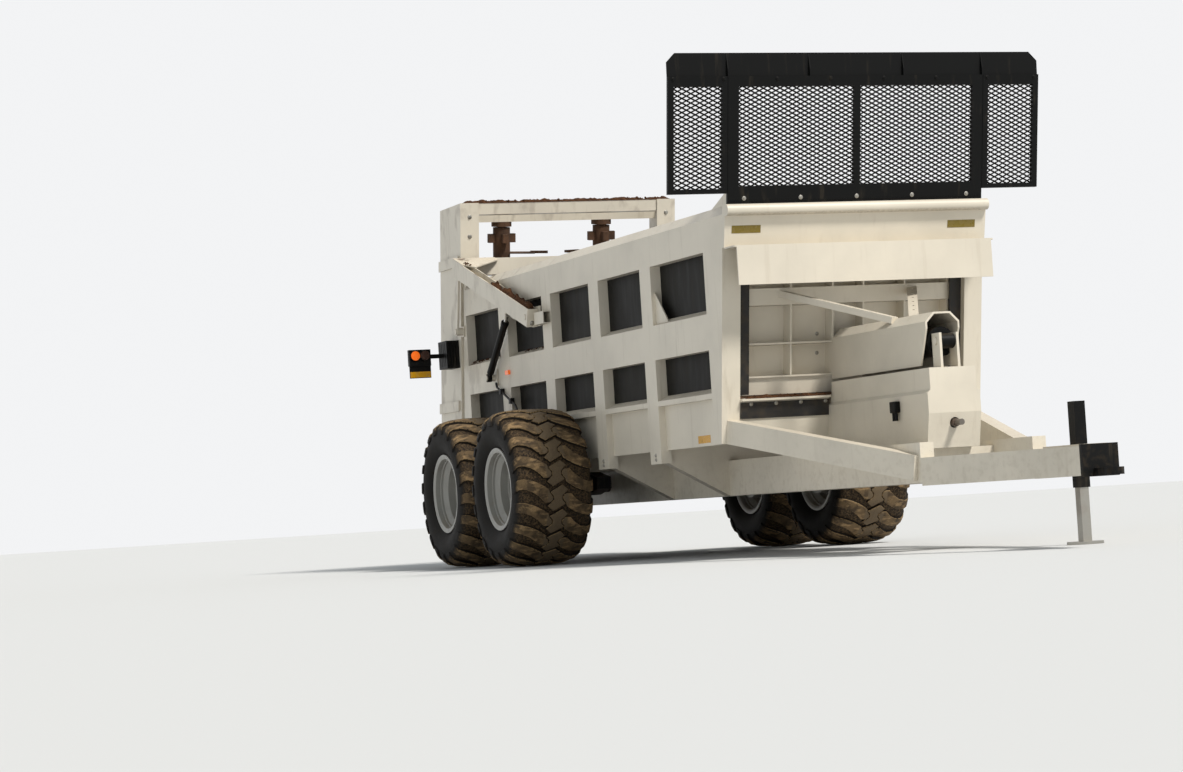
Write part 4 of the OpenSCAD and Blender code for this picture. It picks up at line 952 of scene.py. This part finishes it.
@dataclass(frozen=True)
class Wheel:
    """One of the four wheels: the end of its nodes' names, its body, and how far its tread is turned."""

    name: str
    body: str
    turn: float


WHEELS = (
    Wheel("front_right", "wheel_front_r", math.radians(8.75)),
    Wheel("rear_right", "wheel_rear_r", math.radians(2.0)),
    Wheel("front_left", "wheel_front_l", math.radians(14.0)),
    Wheel("rear_left", "wheel_rear_l", math.radians(5.0)),
)


@dataclass
class FlotationTyre:
    """A tyre with curved side lugs and a row of waisted blocks along its middle.

    A station is a place across the tread with the two edges of the lug round it. The block is half its
    outline, and the other half is the same turned about its middle.
    """

    wheel: Wheel
    middle: Spot
    section: Section = field(default_factory=Section)
    lugs: int = 20
    stations: tuple[tuple[float, float, float], ...] = (
        (-0.048, -0.008, 0.008), (-0.060, -0.026, 0.030), (-0.075, -0.034, 0.045), (-0.080, -0.035, 0.075),
        (-0.120, -0.034, 0.104), (-0.171, 0.021, 0.135), (-0.229, 0.063, 0.160), (-0.302, 0.087, 0.178),
        (-0.350, 0.085, 0.176), (-0.400, 0.060, 0.160), (-0.430, 0.045, 0.150))
    block: tuple[tuple[float, float], ...] = (
        (-0.068, 0.054), (0.043, 0.112), (0.091, 0.068), (0.038, 0.018), (0.038, -0.020))
    block_cuts: tuple[float, ...] = (-0.04, 0.0, 0.04)
    flank_slope: float = 0.007
    root: float = 0.004
    worn_edge: float = 0.003
    round_steps: int = 100

    def build(self, shop: Shop, finish: bpy.types.Material) -> None:
        """Makes the tyre in place of its plain solid.

        Args:
            shop: Where the piece is made.
            finish: The rubber for this axle.
        """
        bm = bmesh.new()
        top = bm.verts.layers.float.new("top")
        for side in (1, -1):
            self._lug(bm, side)
        self._centre_block(bm)
        for v in bm.verts:
            run, along, sunk = v.co.x, v.co.y, -v.co.z
            v[top] = max(0.0, 1.0 - sunk / (self.section.depth(run) + 0.001))
            width, radius = self.section.at(run, sunk)
            angle = self.wheel.turn + along / self.section.points[0][1]
            v.co = (radius * math.cos(angle), width, radius * math.sin(angle))
        whole = bm.verts[:] + bm.edges[:] + bm.faces[:]
        more = self.lugs - 1
        bmesh.ops.spin(
            bm, geom=whole, cent=(0, 0, 0), axis=(0, -1, 0), angle=math.tau / self.lugs * more, steps=more,
            use_duplicate=True)
        self._carcass(bm)
        bmesh.ops.recalc_face_normals(bm, faces=bm.faces[:])
        bmesh.ops.translate(bm, verts=bm.verts[:], vec=self.middle)
        node = f"tyre_{self.wheel.name}"
        shop.piece(bm, f"lugged_{node}", finish, self.wheel.body, stands_for=node, smooth=48)

    def _lug(self, bm: bmesh.types.BMesh, side: int) -> None:
        """Adds a side lug, flat: X across the tread, Y around it and Z off it.

        Args:
            bm: The geometry to add to.
            side: 1 or -1, for the two halves of the tread.
        """
        last = len(self.stations) - 1
        made = bmesh.ops.create_grid(bm, x_segments=last, y_segments=4, size=1.0)["verts"]
        for v in made:
            across, low, high = self.stations[round((v.co.x + 1) / 2 * last)]
            v.co = (side * across, side * (low + (v.co.y + 1) / 2 * (high - low)), 0.0)
        self._sink(bm)

    def _centre_block(self, bm: bmesh.types.BMesh) -> None:
        """Adds a block of the middle row, flat, as its half outline and that half turned about the middle.

        Args:
            bm: The geometry to add to.
        """
        outline = [*self.block, *((-s, -t) for s, t in self.block)]
        face = bm.faces.new([bm.verts.new((s, t, 0.0)) for s, t in outline])
        parts = [face, *face.edges, *face.verts]
        for place in self.block_cuts:
            cut = bmesh.ops.bisect_plane(bm, geom=parts, plane_co=(0, place, 0), plane_no=(0, 1, 0))
            parts = cut["geom"]
        self._sink(bm)

    def _sink(self, bm: bmesh.types.BMesh) -> None:
        """Gives an open sheet its flanks, broken edges and hidden floor.

        Args:
            bm: The geometry, in which only that sheet has a rim.
        """
        rim = [e for e in bm.edges if e.is_boundary]
        outward: dict[tuple[float, float], Vector] = {}
        for edge in rim:
            a, b = (v.co for v in edge.verts)
            across = Vector((b.y - a.y, a.x - b.x, 0.0)).normalized()
            if across.dot((a + b) / 2 - edge.link_faces[0].calc_center_median()) < 0:
                across.negate()
            for corner in (a, b):
                key = (round(corner.x, 5), round(corner.y, 5))
                outward[key] = outward.get(key, Vector()) + across
        skirt = bmesh.ops.extrude_edge_only(bm, edges=rim)["geom"]
        for v in (g for g in skirt if isinstance(g, bmesh.types.BMVert)):
            away = outward[(round(v.co.x, 5), round(v.co.y, 5))].normalized()
            v.co += away * self.flank_slope
            v.co.z = -self.section.depth(v.co.x) - self.root
        bmesh.ops.bevel(
            bm, geom=rim, offset=self.worn_edge, segments=2, profile=0.5, affect="EDGES", material=-1)
        bmesh.ops.holes_fill(bm, edges=[e for e in bm.edges if e.is_boundary], sides=0)

    def _carcass(self, bm: bmesh.types.BMesh) -> None:
        """Adds the casing at the depth of the grooves, down to both beads.

        Args:
            bm: The geometry to add to.
        """
        runs = self.section.runs()
        half = [self.section.at(run, self.section.depth(run)) for run in runs]
        half += self.section.bead
        loop = [(-w, r) for w, r in reversed(half[1:])] + half
        corners = [bm.verts.new((r, w, 0.0)) for w, r in loop]
        edges = [bm.edges.new((corners[i - 1], corners[i])) for i in range(len(corners))]
        bmesh.ops.spin(
            bm, geom=corners + edges, cent=(0, 0, 0), axis=(0, 1, 0), angle=math.tau,
            steps=self.round_steps, use_merge=True)


@dataclass
class GuardScreen:
    """Expanded metal in the four fields of the screen above the front wall, a strand to each half cell.

    A field is its inner, outer and lower edge and the number of half cells across it. Each has its mirror
    image on the other side.
    """

    strand: float = 0.0125
    thick: float = 0.004
    offset: float = 0.022
    twist: float = 0.6
    overlap: float = 0.002
    rows: int = 22
    fields: tuple[tuple[float, float, float, int], ...] = (
        (0.025, 1.004, 2.860, 28), (1.141, 1.544, 2.842, 11))
    top_z: float = 3.616

    def build(self, shop: Shop) -> None:
        """Makes the screen and hangs it on the chassis.

        Args:
            shop: Where the piece is made.
        """
        bm = bmesh.new()
        for inner, outer, low, count in self.fields:
            self._field(bm, inner, outer, low, count)
            self._field(bm, -outer, -inner, low, count)
        black = shop.finishes.black
        shop.piece(bm, "expanded_metal", black, "chassis", stands_for="guard_mesh")

    def _field(self, bm: bmesh.types.BMesh, y0: float, y1: float, z0: float, count: int) -> None:
        """Fills one field with a double row of strands, repeated up the lean.

        Args:
            bm: The geometry to add to.
            y0: The field's right edge.
            y1: Its left edge.
            z0: Its lower edge.
            count: How many half cells it is across.
        """
        across = (y1 - y0) / count
        up = (self.top_z - z0) / math.cos(LEAN) / self.rows / 2
        tilt = math.atan2(up, across)
        reach = math.hypot(up, across) / 2 + self.overlap
        row = bmesh.new()
        for level in range(2):
            for k in range(count):
                sign = 1 if (k + level) % 2 else -1
                y, z = y0 + (k + 0.5) * across, (level + 0.5) * up
                turn = Euler((sign * tilt, 0, 0)).to_matrix() @ Euler((0, self.twist, 0)).to_matrix()
                low = (-self.thick / 2, y - reach, z - self.strand / 2)
                add_box(row, low, (self.thick / 2, y + reach, z + self.strand / 2), turn=turn)
        strip = bpy.data.meshes.new("strip")
        row.to_mesh(strip)
        row.free()
        foot = Matrix.Translation((lean_x(z0, self.offset), 0, z0)) @ Matrix.Rotation(LEAN, 4, "Y")
        for j in range(self.rows):
            start = len(bm.verts)
            bm.from_mesh(strip)
            bm.verts.ensure_lookup_table()
            place = foot @ Matrix.Translation((0, 0, j * 2 * up))
            bmesh.ops.transform(bm, verts=bm.verts[start:], matrix=place)
        bpy.data.meshes.remove(strip)


@dataclass(frozen=True)
class LiftArm:
    """Places along the two lift arms at rest, counted from their pivot."""

    pivot: Spot
    slope: float = math.radians(17.7)
    half_track: float = 1.193

    def place(self, side: int, along: float, height: float) -> Matrix:
        """Works out the place of a spot in an arm.

        Args:
            side: 1 for the left arm, -1 for the right one.
            along: How far the spot lies ahead of the pivot, along the arm.
            height: How far it lies above the arm's middle line.

        Returns:
            The spot's place, turned with X along the arm.
        """
        pivot = Vector(self.pivot) + Vector((0, side * self.half_track, 0))
        turned = Matrix.Translation(pivot) @ Matrix.Rotation(self.slope, 4, "Y")
        return turned @ Matrix.Translation((along, 0, height))


@dataclass
class Fasteners:
    """Bolt heads on the box, the guard, the arms and the gate, and the wheel nuts.

    A name that ends in out is a distance ahead of the leaned front plane, apart from the stud's, which is
    ahead of the nut's seat. The plate's spot is along the arm and above its middle line, and a stud is its
    radius and its length.
    """

    arm: LiftArm
    hubs: dict[str, Spot]
    flange_out: float = 0.034
    guard_y: tuple[float, ...] = (0.228, 0.682, 1.130, 1.548)
    guard_z: float = 3.668
    lip_y: tuple[float, ...] = (0.480, 0.958)
    lip_z: float = 2.768
    post_y: float = 1.030
    post_z: tuple[float, ...] = (3.367, 3.179, 1.30, 1.05)
    strip_y: tuple[float, ...] = (0.245, 0.457, 0.668, 0.880)
    strip_z: float = 1.196
    strip_out: float = 0.010
    foot_back: tuple[float, ...] = (1.38, 2.59, 3.80, 5.01)
    foot_z: tuple[float, ...] = (0.83, 0.865)
    plate_spot: tuple[float, float] = (0.060, -0.045)
    gate_y: tuple[float, ...] = (-0.210, 0.210)
    gate_z: tuple[float, ...] = (1.583, 1.733)
    gate_out: float = -0.235
    nuts: int = 10
    nut_circle: float = 0.120
    nut_inset: float = 0.116
    nut_size: float = 0.032
    stud: tuple[float, float] = (0.010, 0.034)
    stud_out: float = 0.018

    def build(self, shop: Shop) -> None:
        """Makes the fasteners on each body.

        Args:
            shop: Where the pieces are made.
        """
        self._box_bolts(shop)
        self._guard_bolts(shop)
        self._arm_bolts(shop)
        self._gate_bolts(shop)
        for wheel in WHEELS:
            self._nuts(shop, wheel)

    def _guard_bolts(self, shop: Shop) -> None:
        """Adds the painted bolts along the top of the guard.

        Args:
            shop: Where the piece is made.
        """
        bm = bmesh.new()
        for side in (-1, 1):
            for y in self.guard_y:
                spot = (lean_x(self.guard_z, self.flange_out), side * y, self.guard_z)
                add_bolt(bm, spot, FACE_OUT, BOLT)
        shop.piece(bm, "guard_bolts", shop.finishes.black, "chassis", smooth=40)

    def _box_bolts(self, shop: Shop) -> None:
        """Adds the bolts on the front lip, the rear posts, the rubber strip and the feet of the side posts.

        Args:
            shop: Where the piece is made.
        """
        bm = bmesh.new()
        lip_x = lean_x(self.lip_z, self.flange_out)
        add_bolt(bm, (lip_x, 0.0, self.lip_z), FACE_OUT, BOLT)
        for side in (-1, 1):
            for y in self.lip_y:
                add_bolt(bm, (lip_x, side * y, self.lip_z), FACE_OUT, BOLT)
            for z in self.post_z:
                add_bolt(bm, (lean_x(z, BACK_OFFSET), side * self.post_y, z), FACE_OUT, LARGE_BOLT)
            for y in self.strip_y:
                spot = (lean_x(self.strip_z, self.strip_out), side * y, self.strip_z)
                add_bolt(bm, spot, FACE_OUT, SMALL_BOLT)
            for back in self.foot_back:
                for z in self.foot_z:
                    add_bolt(bm, (FRONT_X - back, side * HALF_WIDTH, z), (0, side, 0), BOLT)
        shop.piece(bm, "zinc_bolts", shop.finishes.zinc, "chassis", smooth=40)

    def _arm_bolts(self, shop: Shop) -> None:
        """Adds the bolt on each lift arm's end plate.

        Args:
            shop: Where the piece is made.
        """
        bm = bmesh.new()
        out = (math.cos(self.arm.slope), 0.0, -math.sin(self.arm.slope))
        for side in (-1, 1):
            add_bolt(bm, self.arm.place(side, *self.plate_spot).translation, out, LARGE_BOLT)
        shop.piece(bm, "arm_bolts", shop.finishes.zinc, "lift", smooth=40)

    def _gate_bolts(self, shop: Shop) -> None:
        """Adds the bolt heads in the push gate's pockets.

        Args:
            shop: Where the piece is made.
        """
        bm = bmesh.new()
        for y in self.gate_y:
            for z in self.gate_z:
                add_bolt(bm, (lean_x(z, self.gate_out), y, z), FACE_OUT, SMALL_BOLT)
        shop.piece(bm, "gate_bolts", shop.finishes.zinc, "pusher", smooth=40)

    def _nuts(self, shop: Shop, wheel: Wheel) -> None:
        """Adds a wheel's nuts and studs.

        Args:
            shop: Where the piece is made.
            wheel: The wheel that they hold.
        """
        bm = bmesh.new()
        x, y, z = self.hubs[wheel.body]
        side = math.copysign(1.0, y)
        along_y = Matrix.Rotation(math.pi / 2, 4, "X")
        for i in range(self.nuts):
            angle = math.tau * (i + 0.5) / self.nuts
            reach_x, reach_z = self.nut_circle * math.cos(angle), self.nut_circle * math.sin(angle)
            spot = Vector((x + reach_x, y - side * self.nut_inset, z + reach_z))
            add_bolt(bm, spot, (0, side, 0), self.nut_size)
            middle = Matrix.Translation(spot + Vector((0, side * self.stud_out, 0)))
            add_rod(bm, *self.stud, 12, middle @ along_y)
        shop.piece(bm, f"wheel_nuts_{wheel.name}", shop.finishes.zinc, wheel.body, smooth=40)


@dataclass
class Residue:
    """Dried manure on the ledges, in the lift arms and along the rear beam.

    A surface has the height at which the leaned plane is read and the height of the manure's underside. A
    sill is its middle's X and half its length, and a heap in an arm comes with its seed and its place
    along the arm and above its middle line.
    """

    arm: LiftArm
    dice: random.Random = field(default_factory=lambda: random.Random(11))
    crumb_rise: float = 0.012
    beam_heap: Heap = Heap(2.19, 0.098, 0.042, edge=0.10)
    beam_seed: float = 1.7
    beam_z: tuple[float, float] = (3.5, 3.499)
    beam_back: float = 0.060
    beam_crumbs: Crumbs = Crumbs(90, (0.007, 0.019))
    beam_reach: tuple[float, float] = (1.05, 0.035)
    ledge_heap: Heap = Heap(0.72, 0.046, 0.034, edge=0.1)
    ledge_seed: float = 5.0
    ledge_z: tuple[float, float] = (1.24, 1.239)
    ledge_out: float = 0.022
    ledge_y: float = 0.585
    ledge_crumbs: Crumbs = Crumbs(26, (0.005, 0.014))
    ledge_reach: tuple[float, float] = (0.34, 0.016)
    sills: tuple[tuple[float, float], ...] = ((-2.62, 0.38), (-3.84, 0.42), (-4.47, 0.12))
    sill_y: float = 1.062
    sill_z: float = 1.952
    sill_slope: float = 0.42
    sill_crumbs: Crumbs = Crumbs(34, (0.004, 0.012))
    sill_half_width: float = 0.026
    arm_heaps: tuple[tuple[Heap, float, float, float], ...] = (
        (Heap(0.50, 0.078, 0.228, edge=0.80, rough=0.22), 2.0, -0.215, -0.0695),
        (Heap(0.30, 0.078, 0.202, edge=0.80, rough=0.22), 8.0, -0.602, -0.046),
        (Heap(0.44, 0.078, 0.216, edge=0.45, rough=0.26), 4.0, -0.955, -0.0695),
    )
    arm_spot: tuple[float, float] = (-1.82, 0.0935)
    arm_crumbs: Crumbs = Crumbs(12, (0.006, 0.016))
    arm_reach: tuple[float, float] = (0.09, 0.030)

    def build(self, shop: Shop) -> None:
        """Makes the heaps and crumbs on each body.

        Args:
            shop: Where the pieces are made.
        """
        fixed, arms = bmesh.new(), bmesh.new()
        self._beam(fixed)
        for side in (-1, 1):
            self._ledge(fixed, side)
            self._sills(fixed, side)
        for side in (-1, 1):
            self._arm(arms, side)
        for bm, name, body in ((fixed, "manure_on_box", "chassis"), (arms, "manure_in_arms", "lift")):
            bmesh.ops.recalc_face_normals(bm, faces=bm.faces[:])
            shop.piece(bm, name, shop.finishes.manure, body, smooth=70)

    def _beam(self, bm: bmesh.types.BMesh) -> None:
        """Lays a strip along the top of the rear beam.

        Args:
            bm: The geometry to add to.
        """
        plane_z, z = self.beam_z
        middle = Matrix.Translation((lean_x(plane_z, BACK_OFFSET - self.beam_back), 0, z))
        beam = middle @ Matrix.Rotation(math.pi / 2, 4, "Z")
        self.beam_heap.add(bm, beam, self.beam_seed)
        on_top = beam @ Matrix.Translation((0, 0, self.crumb_rise))
        self.beam_crumbs.add(bm, self.dice, on_top, self.beam_reach)

    def _ledge(self, bm: bmesh.types.BMesh, side: int) -> None:
        """Fills the ledge across the front above the rubber strip.

        Args:
            bm: The geometry to add to.
            side: 1 for the left half, -1 for the right one.
        """
        plane_z, z = self.ledge_z
        middle = Matrix.Translation((lean_x(plane_z, self.ledge_out), side * self.ledge_y, z))
        ledge = middle @ Matrix.Rotation(math.pi / 2, 4, "Z")
        self.ledge_heap.add(bm, ledge, self.ledge_seed + side)
        on_top = ledge @ Matrix.Translation((0, 0, self.crumb_rise))
        self.ledge_crumbs.add(bm, self.dice, on_top, self.ledge_reach)

    def _sills(self, bm: bmesh.types.BMesh, side: int) -> None:
        """Scatters crumbs on the window sills towards the rear.

        Args:
            bm: The geometry to add to.
            side: 1 for the left side of the box, -1 for the right one.
        """
        for x, reach in self.sills:
            middle = Matrix.Translation((x, side * self.sill_y, self.sill_z))
            spot = middle @ Matrix.Rotation(side * -self.sill_slope, 4, "X")
            self.sill_crumbs.add(bm, self.dice, spot, (reach, self.sill_half_width))

    def _arm(self, bm: bmesh.types.BMesh, side: int) -> None:
        """Fills the lower part of a lift arm, clear of the cylinder's eye.

        Args:
            bm: The geometry to add to.
            side: 1 for the left arm, -1 for the right one.
        """
        for heap, seed, along, height in self.arm_heaps:
            heap.add(bm, self.arm.place(side, along, height), seed + side)
        self.arm_crumbs.add(bm, self.dice, self.arm.place(side, *self.arm_spot), self.arm_reach)


@dataclass
class Reflectors:
    """Strips of reflective tape on the sloping front wall and the side skirts.

    The wall's foot is one X and Z on the wall's face, from which its tilt gives the rest.
    """

    wall_tilt: float = math.atan2(0.059, 0.247)
    wall_foot: tuple[float, float] = (1.984, 2.4)
    wall_y: tuple[tuple[float, float], ...] = ((-1.065, -0.822), (0.790, 1.033))
    wall_z: float = 2.534
    half_height: float = 0.030
    half_thick: float = 0.001
    lifted: float = 0.0008
    skirt_x: tuple[float, float] = (1.105, 1.355)
    skirt_y: float = 1.0705
    skirt_z: tuple[float, float] = (0.925, 0.985)

    def build(self, shop: Shop) -> None:
        """Makes the strips as thin plates on the paint.

        Args:
            shop: Where the pieces are made.
        """
        wall, skirt = bmesh.new(), bmesh.new()
        foot_x, foot_z = self.wall_foot
        x = foot_x + math.tan(self.wall_tilt) * (self.wall_z - foot_z) + self.lifted
        thick = self.half_thick
        z0, z1 = self.wall_z - self.half_height, self.wall_z + self.half_height
        turn = Matrix.Rotation(self.wall_tilt, 3, "Y")
        for y0, y1 in self.wall_y:
            add_box(wall, (x - thick, y0, z0), (x + thick, y1, z1), turn=turn)
        for side in (-1, 1):
            y = side * self.skirt_y
            low = (self.skirt_x[0], y - thick, self.skirt_z[0])
            add_box(skirt, low, (self.skirt_x[1], y + thick, self.skirt_z[1]))
        shop.piece(wall, "reflective_strips", shop.finishes.tape, "chassis")
        shop.piece(skirt, "skirt_reflectors", shop.finishes.yellow, "chassis")


@dataclass
class LampTrim:
    """Bezels round the rear lenses, and the board with its yellow strip under each lamp panel.

    The panel is the height at which the leaned rear plane is read and its distance behind that plane. The
    bezel is its inner and outer radius, and a back is the far and the near face behind the panel's own.
    """

    panel: tuple[float, float] = (2.060, 0.180)
    lens_y: tuple[float, ...] = (1.443, 1.543)
    lens_z: float = 2.061
    bezel: tuple[float, float] = (0.0465, 0.0495)
    bezel_out: float = 0.024
    board_y: tuple[float, float] = (1.386, 1.604)
    board_z: tuple[float, float] = (1.842, 1.972)
    board_back: tuple[float, float] = (0.014, 0.002)
    board_edge: float = 0.002
    strip_inset: float = 0.004
    strip_z: tuple[float, float] = (1.848, 1.905)
    strip_back: tuple[float, float] = (0.003, 0.0005)

    def build(self, shop: Shop) -> None:
        """Makes the bezels, the boards and their strips.

        Args:
            shop: Where the pieces are made.
        """
        height, back = self.panel
        x = lean_x(height, BACK_OFFSET - back)
        self._bezels(shop, x)
        self._boards(shop, x)

    def _bezels(self, shop: Shop, x: float) -> None:
        """Makes one ring for each lens.

        Args:
            shop: Where the piece is made.
            x: The lamp panel's face.
        """
        bm = bmesh.new()
        for side in (-1, 1):
            for y in self.lens_y:
                add_ring(bm, (x, side * y, self.lens_z), (1, 0, 0), self.bezel, self.bezel_out)
        shop.piece(bm, "lamp_bezels", shop.finishes.black, "chassis", smooth=40)

    def _boards(self, shop: Shop, x: float) -> None:
        """Makes the board under each lamp panel and its yellow strip.

        Args:
            shop: Where the pieces are made.
            x: The lamp panel's face.
        """
        board, strip = bmesh.new(), bmesh.new()
        for side in (-1, 1):
            y0, y1 = sorted(side * y for y in self.board_y)
            boxes = (
                (board, self.board_back, self.board_z, 0.0, self.board_edge),
                (strip, self.strip_back, self.strip_z, self.strip_inset, 0.0),
            )
            for bm, (far, near), (z0, z1), inset, edge in boxes:
                add_box(bm, (x - far, y0 + inset, z0), (x - near, y1 - inset, z1), edge)
        shop.piece(board, "lamp_boards", shop.finishes.black, "chassis")
        shop.piece(strip, "lamp_board_strips", shop.finishes.yellow, "chassis")


@dataclass
class Lines:
    """Steel hydraulic lines with their clamps, from the foot of each lift cylinder to below the box.

    The route is for the left side. A clamp is a place on it, as X and Z, and a coupler is its radius and
    its length.
    """

    route: tuple[Spot, ...] = (
        (-3.560, 1.150, 1.700), (-3.540, 1.150, 1.660), (-3.060, 1.150, 1.470), (-2.980, 1.150, 1.400),
        (-2.965, 1.150, 1.000), (-2.965, 1.150, 0.935))
    pipe: float = 0.007
    knee: float = 0.0072
    spacing: float = 0.022
    clamps: tuple[tuple[float, float], ...] = ((-3.42, 1.617), (-3.16, 1.514), (-2.966, 1.20))
    clamp_y: float = 1.144
    clamp_low: Spot = (0.022, 0.020, 0.030)
    clamp_high: Spot = (0.036, 0.020, 0.022)
    clamp_edge: float = 0.003
    holder: tuple[Spot, Spot] = ((2.90, -0.262, 1.035), (2.99, -0.214, 1.120))
    holder_edge: float = 0.006
    coupler_x: tuple[float, ...] = (2.925, 2.965)
    coupler_yz: tuple[float, float] = (-0.240, 1.010)
    coupler: tuple[float, float] = (0.013, 0.07)

    def build(self, shop: Shop) -> None:
        """Makes the lines on both sides and the holder of their couplers.

        Args:
            shop: Where the piece is made.
        """
        bm = bmesh.new()
        self._holder(bm)
        for side in (-1, 1):
            for shift in (0.0, self.spacing):
                self._pipe(bm, side, shift)
            for x, z in self.clamps:
                middle = Vector((x, side * self.clamp_y, z))
                low, high = middle - Vector(self.clamp_low), middle + Vector(self.clamp_high)
                add_box(bm, low, high, self.clamp_edge)
        shop.piece(bm, "lift_lines", shop.finishes.black, "chassis", smooth=50)

    def _holder(self, bm: bmesh.types.BMesh) -> None:
        """Adds the black holder of two hydraulic couplers on the right of the pedestal.

        Args:
            bm: The geometry to add to.
        """
        add_box(bm, *self.holder, self.holder_edge)
        for x in self.coupler_x:
            add_rod(bm, *self.coupler, 16, Matrix.Translation((x, *self.coupler_yz)))

    def _pipe(self, bm: bmesh.types.BMesh, side: int, shift: float) -> None:
        """Adds one pipe as straight lengths with round knees.

        Args:
            bm: The geometry to add to.
            side: 1 for the left side of the box, -1 for the right one.
            shift: How far it lies ahead of the route.
        """
        places = [Vector((x + shift, side * y, z)) for x, y, z in self.route]
        for a, b in zip(places, places[1:]):
            middle = Matrix.Translation((a + b) / 2)
            add_rod(bm, self.pipe, (b - a).length, 12, middle @ turn_to(b - a))
        for spot in places:
            knee = Matrix.Translation(spot)
            bmesh.ops.create_icosphere(bm, subdivisions=2, radius=self.knee, matrix=knee)


@dataclass
class Studio:
    """The camera at the photograph's place, a pale floor, a soft sun and a pale sky."""

    eye: Spot = (21.114 + FRONT_X, -10.125, 0.449)
    right: Spot = (0.34944, 0.93493, -0.06162)
    up: Spot = (0.06095, 0.04295, 0.99722)
    back: Spot = (0.93497, -0.35222, -0.04198)
    lens: float = 90.09
    sensor: float = 36.0
    floor_half: float = 150.0
    floor_z: float = -0.001
    floor_colour: Colour = (0.850, 0.857, 0.862)
    light_colour: Colour = (0.91, 0.93, 0.94)
    light_strength: float = 0.46
    seen_colour: Colour = (0.952, 0.955, 0.96)
    sun_colour: Colour = (1.0, 0.955, 0.885)
    sun_strength: float = 3.25
    sun_width: float = math.radians(11)
    sun_bearing: float = math.radians(25)
    sun_height: float = math.radians(50)

    def build(self) -> None:
        """Makes the camera, the floor, the sky and the sun."""
        scene = bpy.context.scene
        scene.view_settings.view_transform = "Standard"
        self._camera(scene)
        self._floor(scene)
        self._sky(scene)
        self._sun(scene)

    def _camera(self, scene: bpy.types.Scene) -> None:
        """Places the camera by its measured axes.

        Args:
            scene: The scene that it is for.
        """
        data = bpy.data.cameras.new("photo_camera")
        data.lens = self.lens
        data.sensor_width = self.sensor
        data.clip_start = 0.1
        data.clip_end = 400.0
        camera = bpy.data.objects.new("photo_camera", data)
        scene.collection.objects.link(camera)
        turn = Matrix((self.right, self.up, self.back)).transposed().normalized()
        camera.matrix_world = Matrix.Translation(self.eye) @ turn.to_4x4()
        scene.camera = camera

    def _floor(self, scene: bpy.types.Scene) -> None:
        """Makes the pale floor, which keeps the shadow.

        Args:
            scene: The scene that it is for.
        """
        bm = bmesh.new()
        bmesh.ops.create_grid(bm, x_segments=1, y_segments=1, size=self.floor_half)
        bmesh.ops.translate(bm, verts=bm.verts[:], vec=(0, 0, self.floor_z))
        mesh = bpy.data.meshes.new("floor")
        bm.to_mesh(mesh)
        bm.free()
        matt = {"Base_Color": linear(self.floor_colour), "Roughness": 0.9, "Specular_IOR_Level": 0.1}
        mesh.materials.append(Graph("floor_paint").finish(**matt))
        floor = bpy.data.objects.new("floor", mesh)
        scene.collection.objects.link(floor)

    def _sky(self, scene: bpy.types.Scene) -> None:
        """Gives the world a plain pale light, near white where it is seen or mirrored.

        Args:
            scene: The scene that it is for.
        """
        world = bpy.data.worlds.new("studio_world")
        world.use_nodes = True
        tree = world.node_tree
        tree.nodes.clear()
        output = tree.nodes.new("ShaderNodeOutputWorld")
        path = tree.nodes.new("ShaderNodeLightPath")
        mix = tree.nodes.new("ShaderNodeMixShader")
        lights = ((self.light_colour, self.light_strength), (self.seen_colour, 1.0))
        for slot, (colour, strength) in enumerate(lights, start=1):
            background = tree.nodes.new("ShaderNodeBackground")
            background.inputs[0].default_value = linear(colour)
            background.inputs[1].default_value = strength
            tree.links.new(background.outputs[0], mix.inputs[slot])
        shown = path.outputs["Is Camera Ray"]
        for other in ("Is Glossy Ray", "Is Transmission Ray"):
            either = tree.nodes.new("ShaderNodeMath")
            either.operation = "MAXIMUM"
            tree.links.new(shown, either.inputs[0])
            tree.links.new(path.outputs[other], either.inputs[1])
            shown = either.outputs[0]
        tree.links.new(shown, mix.inputs[0])
        tree.links.new(mix.outputs[0], output.inputs[0])
        scene.world = world

    def _sun(self, scene: bpy.types.Scene) -> None:
        """Adds one soft sun ahead and to the left of the spreader.

        Args:
            scene: The scene that it is for.
        """
        data = bpy.data.lights.new("sun", "SUN")
        data.energy = self.sun_strength
        data.angle = self.sun_width
        data.color = self.sun_colour
        lamp = bpy.data.objects.new("sun", data)
        scene.collection.objects.link(lamp)
        level = math.cos(self.sun_height)
        ahead, left = level * math.cos(self.sun_bearing), level * math.sin(self.sun_bearing)
        toward = Vector((ahead, left, math.sin(self.sun_height)))
        lamp.rotation_euler = toward.to_track_quat("Z", "Y").to_euler()


def main() -> None:
    """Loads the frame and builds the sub-assemblies in order."""
    logging.basicConfig(level=logging.INFO, format="%(name)s: %(message)s")
    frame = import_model()
    anchors = {joint["child"]: tuple(joint["pos_m"]) for joint in frame["joints"] if "pos_m" in joint}
    hubs = {wheel.body: anchors[wheel.body] for wheel in WHEELS}
    arm = LiftArm(anchors["lift"])
    Studio().build()
    finishes = Finishes(hubs)
    finishes.dress(frame["nodes"])
    shop = Shop(finishes)
    GuardScreen().build(shop)
    for wheel in WHEELS:
        hub = hubs[wheel.body]
        FlotationTyre(wheel, hub).build(shop, finishes.rubber[hub[0]])
    Fasteners(arm, hubs).build(shop)
    Residue(arm).build(shop)
    Reflectors().build(shop)
    Lines().build(shop)
    LampTrim().build(shop)
    log.info("pieces made: %d", len(shop.made))


if __name__ == "__main__":
    main()
